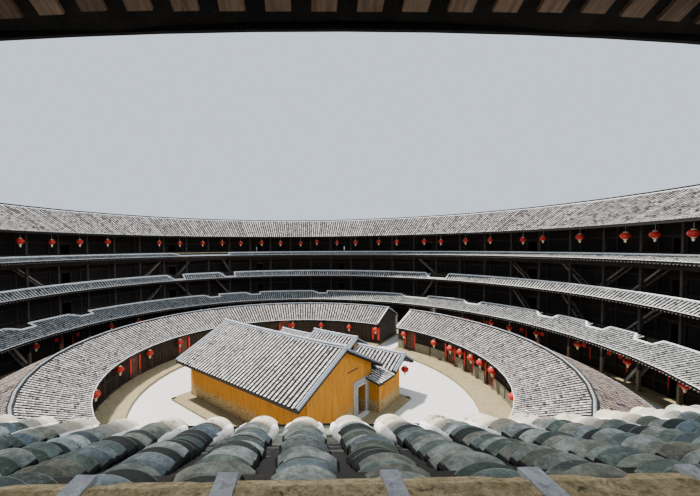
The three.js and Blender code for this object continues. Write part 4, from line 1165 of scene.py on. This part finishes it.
# Ridge y and z, run and slope of each side, x from and to, tiles in a row.
HALL_ROOFS = {
    "main_hall": (3.11, 5.3, 4.65, 0.46667, -6.35, 6.35, 28),
    "front_hall_middle": (-3.5, 4.0, 1.6, 0.5, -3.05, 1.6, 10),
    "front_hall_left": (-3.5, 3.45, 1.6, 0.5, 1.601, 5.75, 10),
    "front_hall_right": (-3.5, 3.45, 1.6, 0.5, -7.3, -3.051, 10),
}


def hall_roofs():
    for name, (ry, rz, run, slope, x0, x1, count) in HALL_ROOFS.items():
        n = round((x1 - x0 - 0.5) / 0.312)
        xs = x0 + 0.25 + (np.arange(n) + 0.5) * (x1 - x0 - 0.5) / n
        for side, sign in (("back", 1), ("front", -1)):
            slope_rows(f"{name}_tiles_{side}", xs, (ry + sign * 0.1, rz - 0.1 * slope + 0.01),
                       (ry + sign * (run + 0.04), rz - slope * (run + 0.04) + 0.01), count)
        ridge, verge, dark = Soup(), Soup(), Soup()
        xr = np.linspace(x0 - 0.02, x1 + 0.02, 15)
        bend = (0.10 if name == "main_hall" else 0.05) * np.abs(np.linspace(-1, 1, 15)) ** 4
        ridge.tube([(x, ry, rz + 0.13 + b) for x, b in zip(xr, bend)], 0.11, 8, 0.5, 0.75)
        ridge.tube([(x, ry, rz + 0.03 + b * 0.5) for x, b in zip(xr, bend)], 0.155, 6, 0.3, 0.6)
        for x, inward in ((x0, 1), (x1, -1)):
            for sign in (-1, 1):
                for soup, inset, lift, reach, thick in ((verge, 0.17, 0.075, run, 0.045),
                                                        (dark, 0.02, 0.03, run + 0.02, 0.085)):
                    soup.tube([(x + inward * inset, ry + sign * t, rz - slope * t + lift)
                               for t in np.linspace(0.05, reach, 9)], thick, 6, 0.3, 0.9)
        ridge.piece(f"{name}_ridge", "weathered_lime")
        verge.piece(f"{name}_verge_lime", "weathered_lime")
        dark.piece(f"{name}_verge_tiles", "verge_tiles")
    eaves = Soup()
    for ry, rz, run, slope, x0, x1, _ in HALL_ROOFS.values():
        for sign in (-1, 1):
            eaves.squares(((x0 + x1) / 2, ry + sign * (run + 0.012), rz - slope * run - 0.13, x1 - x0 - 0.04, 0.025,
                           0.16))
        for x in np.arange(x0 + 0.2, x1 - 0.1, 0.3):
            for sign in (-1, 1):
                t = run - 0.22
                d = np.array([0, sign, -slope]) / hypot(1, slope)
                eaves.box((x, ry + sign * t, rz - slope * t - 0.235), X, d, np.cross(X, d), (0.08, 0.42, 0.05))
    eaves.piece("hall_eave_timbers", "dark_timber")


def wing_tiles():
    """Rows and edges of the two wings' lean-to roofs; the wider right one goes on in front of the side door."""
    slope, corner_x, step_y = 0.25, 6.2, -0.45
    for name, wall_x, sign in (("right", -6.9, -1), ("left", 5.4, 1)):
        eave_x = wall_x + sign * 0.3
        inner_x = eave_x - sign * 1.9
        wide = abs(eave_x) > 6.3
        ys = np.arange(-1.72, 0.36, 0.3)
        if not wide:
            ys = ys[ys <= step_y]
        starts = np.where(ys > step_y, sign * corner_x, inner_x)
        height = lambda x: 2.4 + slope * abs(eave_x - x) + 0.01
        a = np.array([(x, y, height(x)) for x, y in zip(starts, ys)])
        b = np.array([(eave_x + sign * 0.03, y, height(eave_x)) for y in ys])
        normal = np.array([sign * slope, 0, 1.0]) / hypot(slope, 1)
        long_rows = np.abs((b - a)[:, 0]) > 1.5
        for part, mask, count in (("long", long_rows, 11), ("short", ~long_rows, 6)):
            if mask.any():
                tile_rows(f"{name}_wing_tiles_{part}", a[mask], b[mask], np.tile(normal, (mask.sum(), 1)),
                          (0.085, 0.085), count, 4, "roof_tiles", lime_tiles=1, skirt=0.02)
        edge = Soup()
        for y, x_in in ((-1.84, inner_x), (0.38, sign * corner_x))[:1 + wide]:
            edge.tube([(x, y, height(x) + 0.05) for x in np.linspace(x_in, eave_x, 5)], 0.07, 6, 0.3, 0.9)
        edge.piece(f"{name}_wing_edges", "verge_tiles")


def hall_details():
    """Side door frame, kerb round the apron, rod on the gable and frames of the hall doors."""
    stone, kerb, iron, boards = (Soup() for _ in range(4))
    stone.squares((-6.135, 0.34, 1.2, 0.05, 0.1, 2.1), (-6.135, 1.51, 1.2, 0.05, 0.1, 2.1),
                  (-6.135, 0.925, 2.3, 0.05, 1.22, 0.1), (-6.2, 0.925, 0.2, 0.34, 1.3, 0.1))
    stone.piece("side_door_inner_frame", "pale_stone")
    corners = np.array([(6.6, -3.9, 0), (-7.6, -3.9, 0), (-7.6, 8.1, 0), (6.6, 8.1, 0)])
    for p, q in zip(corners, np.roll(corners, -1, 0)):
        length, d = np.linalg.norm(q - p), unit(q - p)
        inward = np.cross(d, UP)
        t = 0.0
        while t < length - 0.1:
            step = min(length - t, 0.7 + rng.random() * 0.6)
            c = p + d * (t + step / 2) + inward * 0.15
            kerb.box(c + UP * 0.157, d, inward, UP, (step - 0.015, 0.3, 0.016))
            t += step
    kerb.piece("hall_kerb_stones", "kerb_stone")
    iron.box((-6.07, 1.95, 3.55), Y, X, UP, (1.3, 0.045, 0.045))
    iron.piece("gable_bracket", "iron")
    boards.squares((-1.69, -3.17, 1.28, 0.1, 0.3, 2.24), (0.29, -3.17, 1.28, 0.1, 0.3, 2.24),
                   (-0.7, -3.17, 2.4, 2.08, 0.3, 0.1), (-1.95, -0.28, 1.3, 0.1, 0.3, 2.28),
                   (1.95, -0.28, 1.3, 0.1, 0.3, 2.28), (0, -0.28, 2.46, 3.99, 0.3, 0.08))
    boards.piece("hall_door_frames", "door_boards", "dark_timber")


# The order stays as it is, because each step draws from rng.
for step in (make_camera, make_light, make_materials, dress_cad, main_roof_tiles, skirt_tiles, near_sill, rafters,
             ring_lanterns, gallery_stairs, room_front_frames, gallery_beams, outer_windows, gate_details,
             inner_ring_roof, inner_ring_front, inner_door_leaves, hall_roofs, wing_tiles, hall_details):
    step()

FLOOR_HALF = 300
floor_mesh = bpy.data.meshes.new("floor")
floor_mesh.from_pydata([(x * FLOOR_HALF, y * FLOOR_HALF, 0) for x, y in ((-1, -1), (1, -1), (1, 1), (-1, 1))], [],
                       [(0, 1, 2, 3)])
floor = put("floor", floor_mesh)
floor.location.z = -0.002
floor_mesh.materials.append(M["studio_floor"])
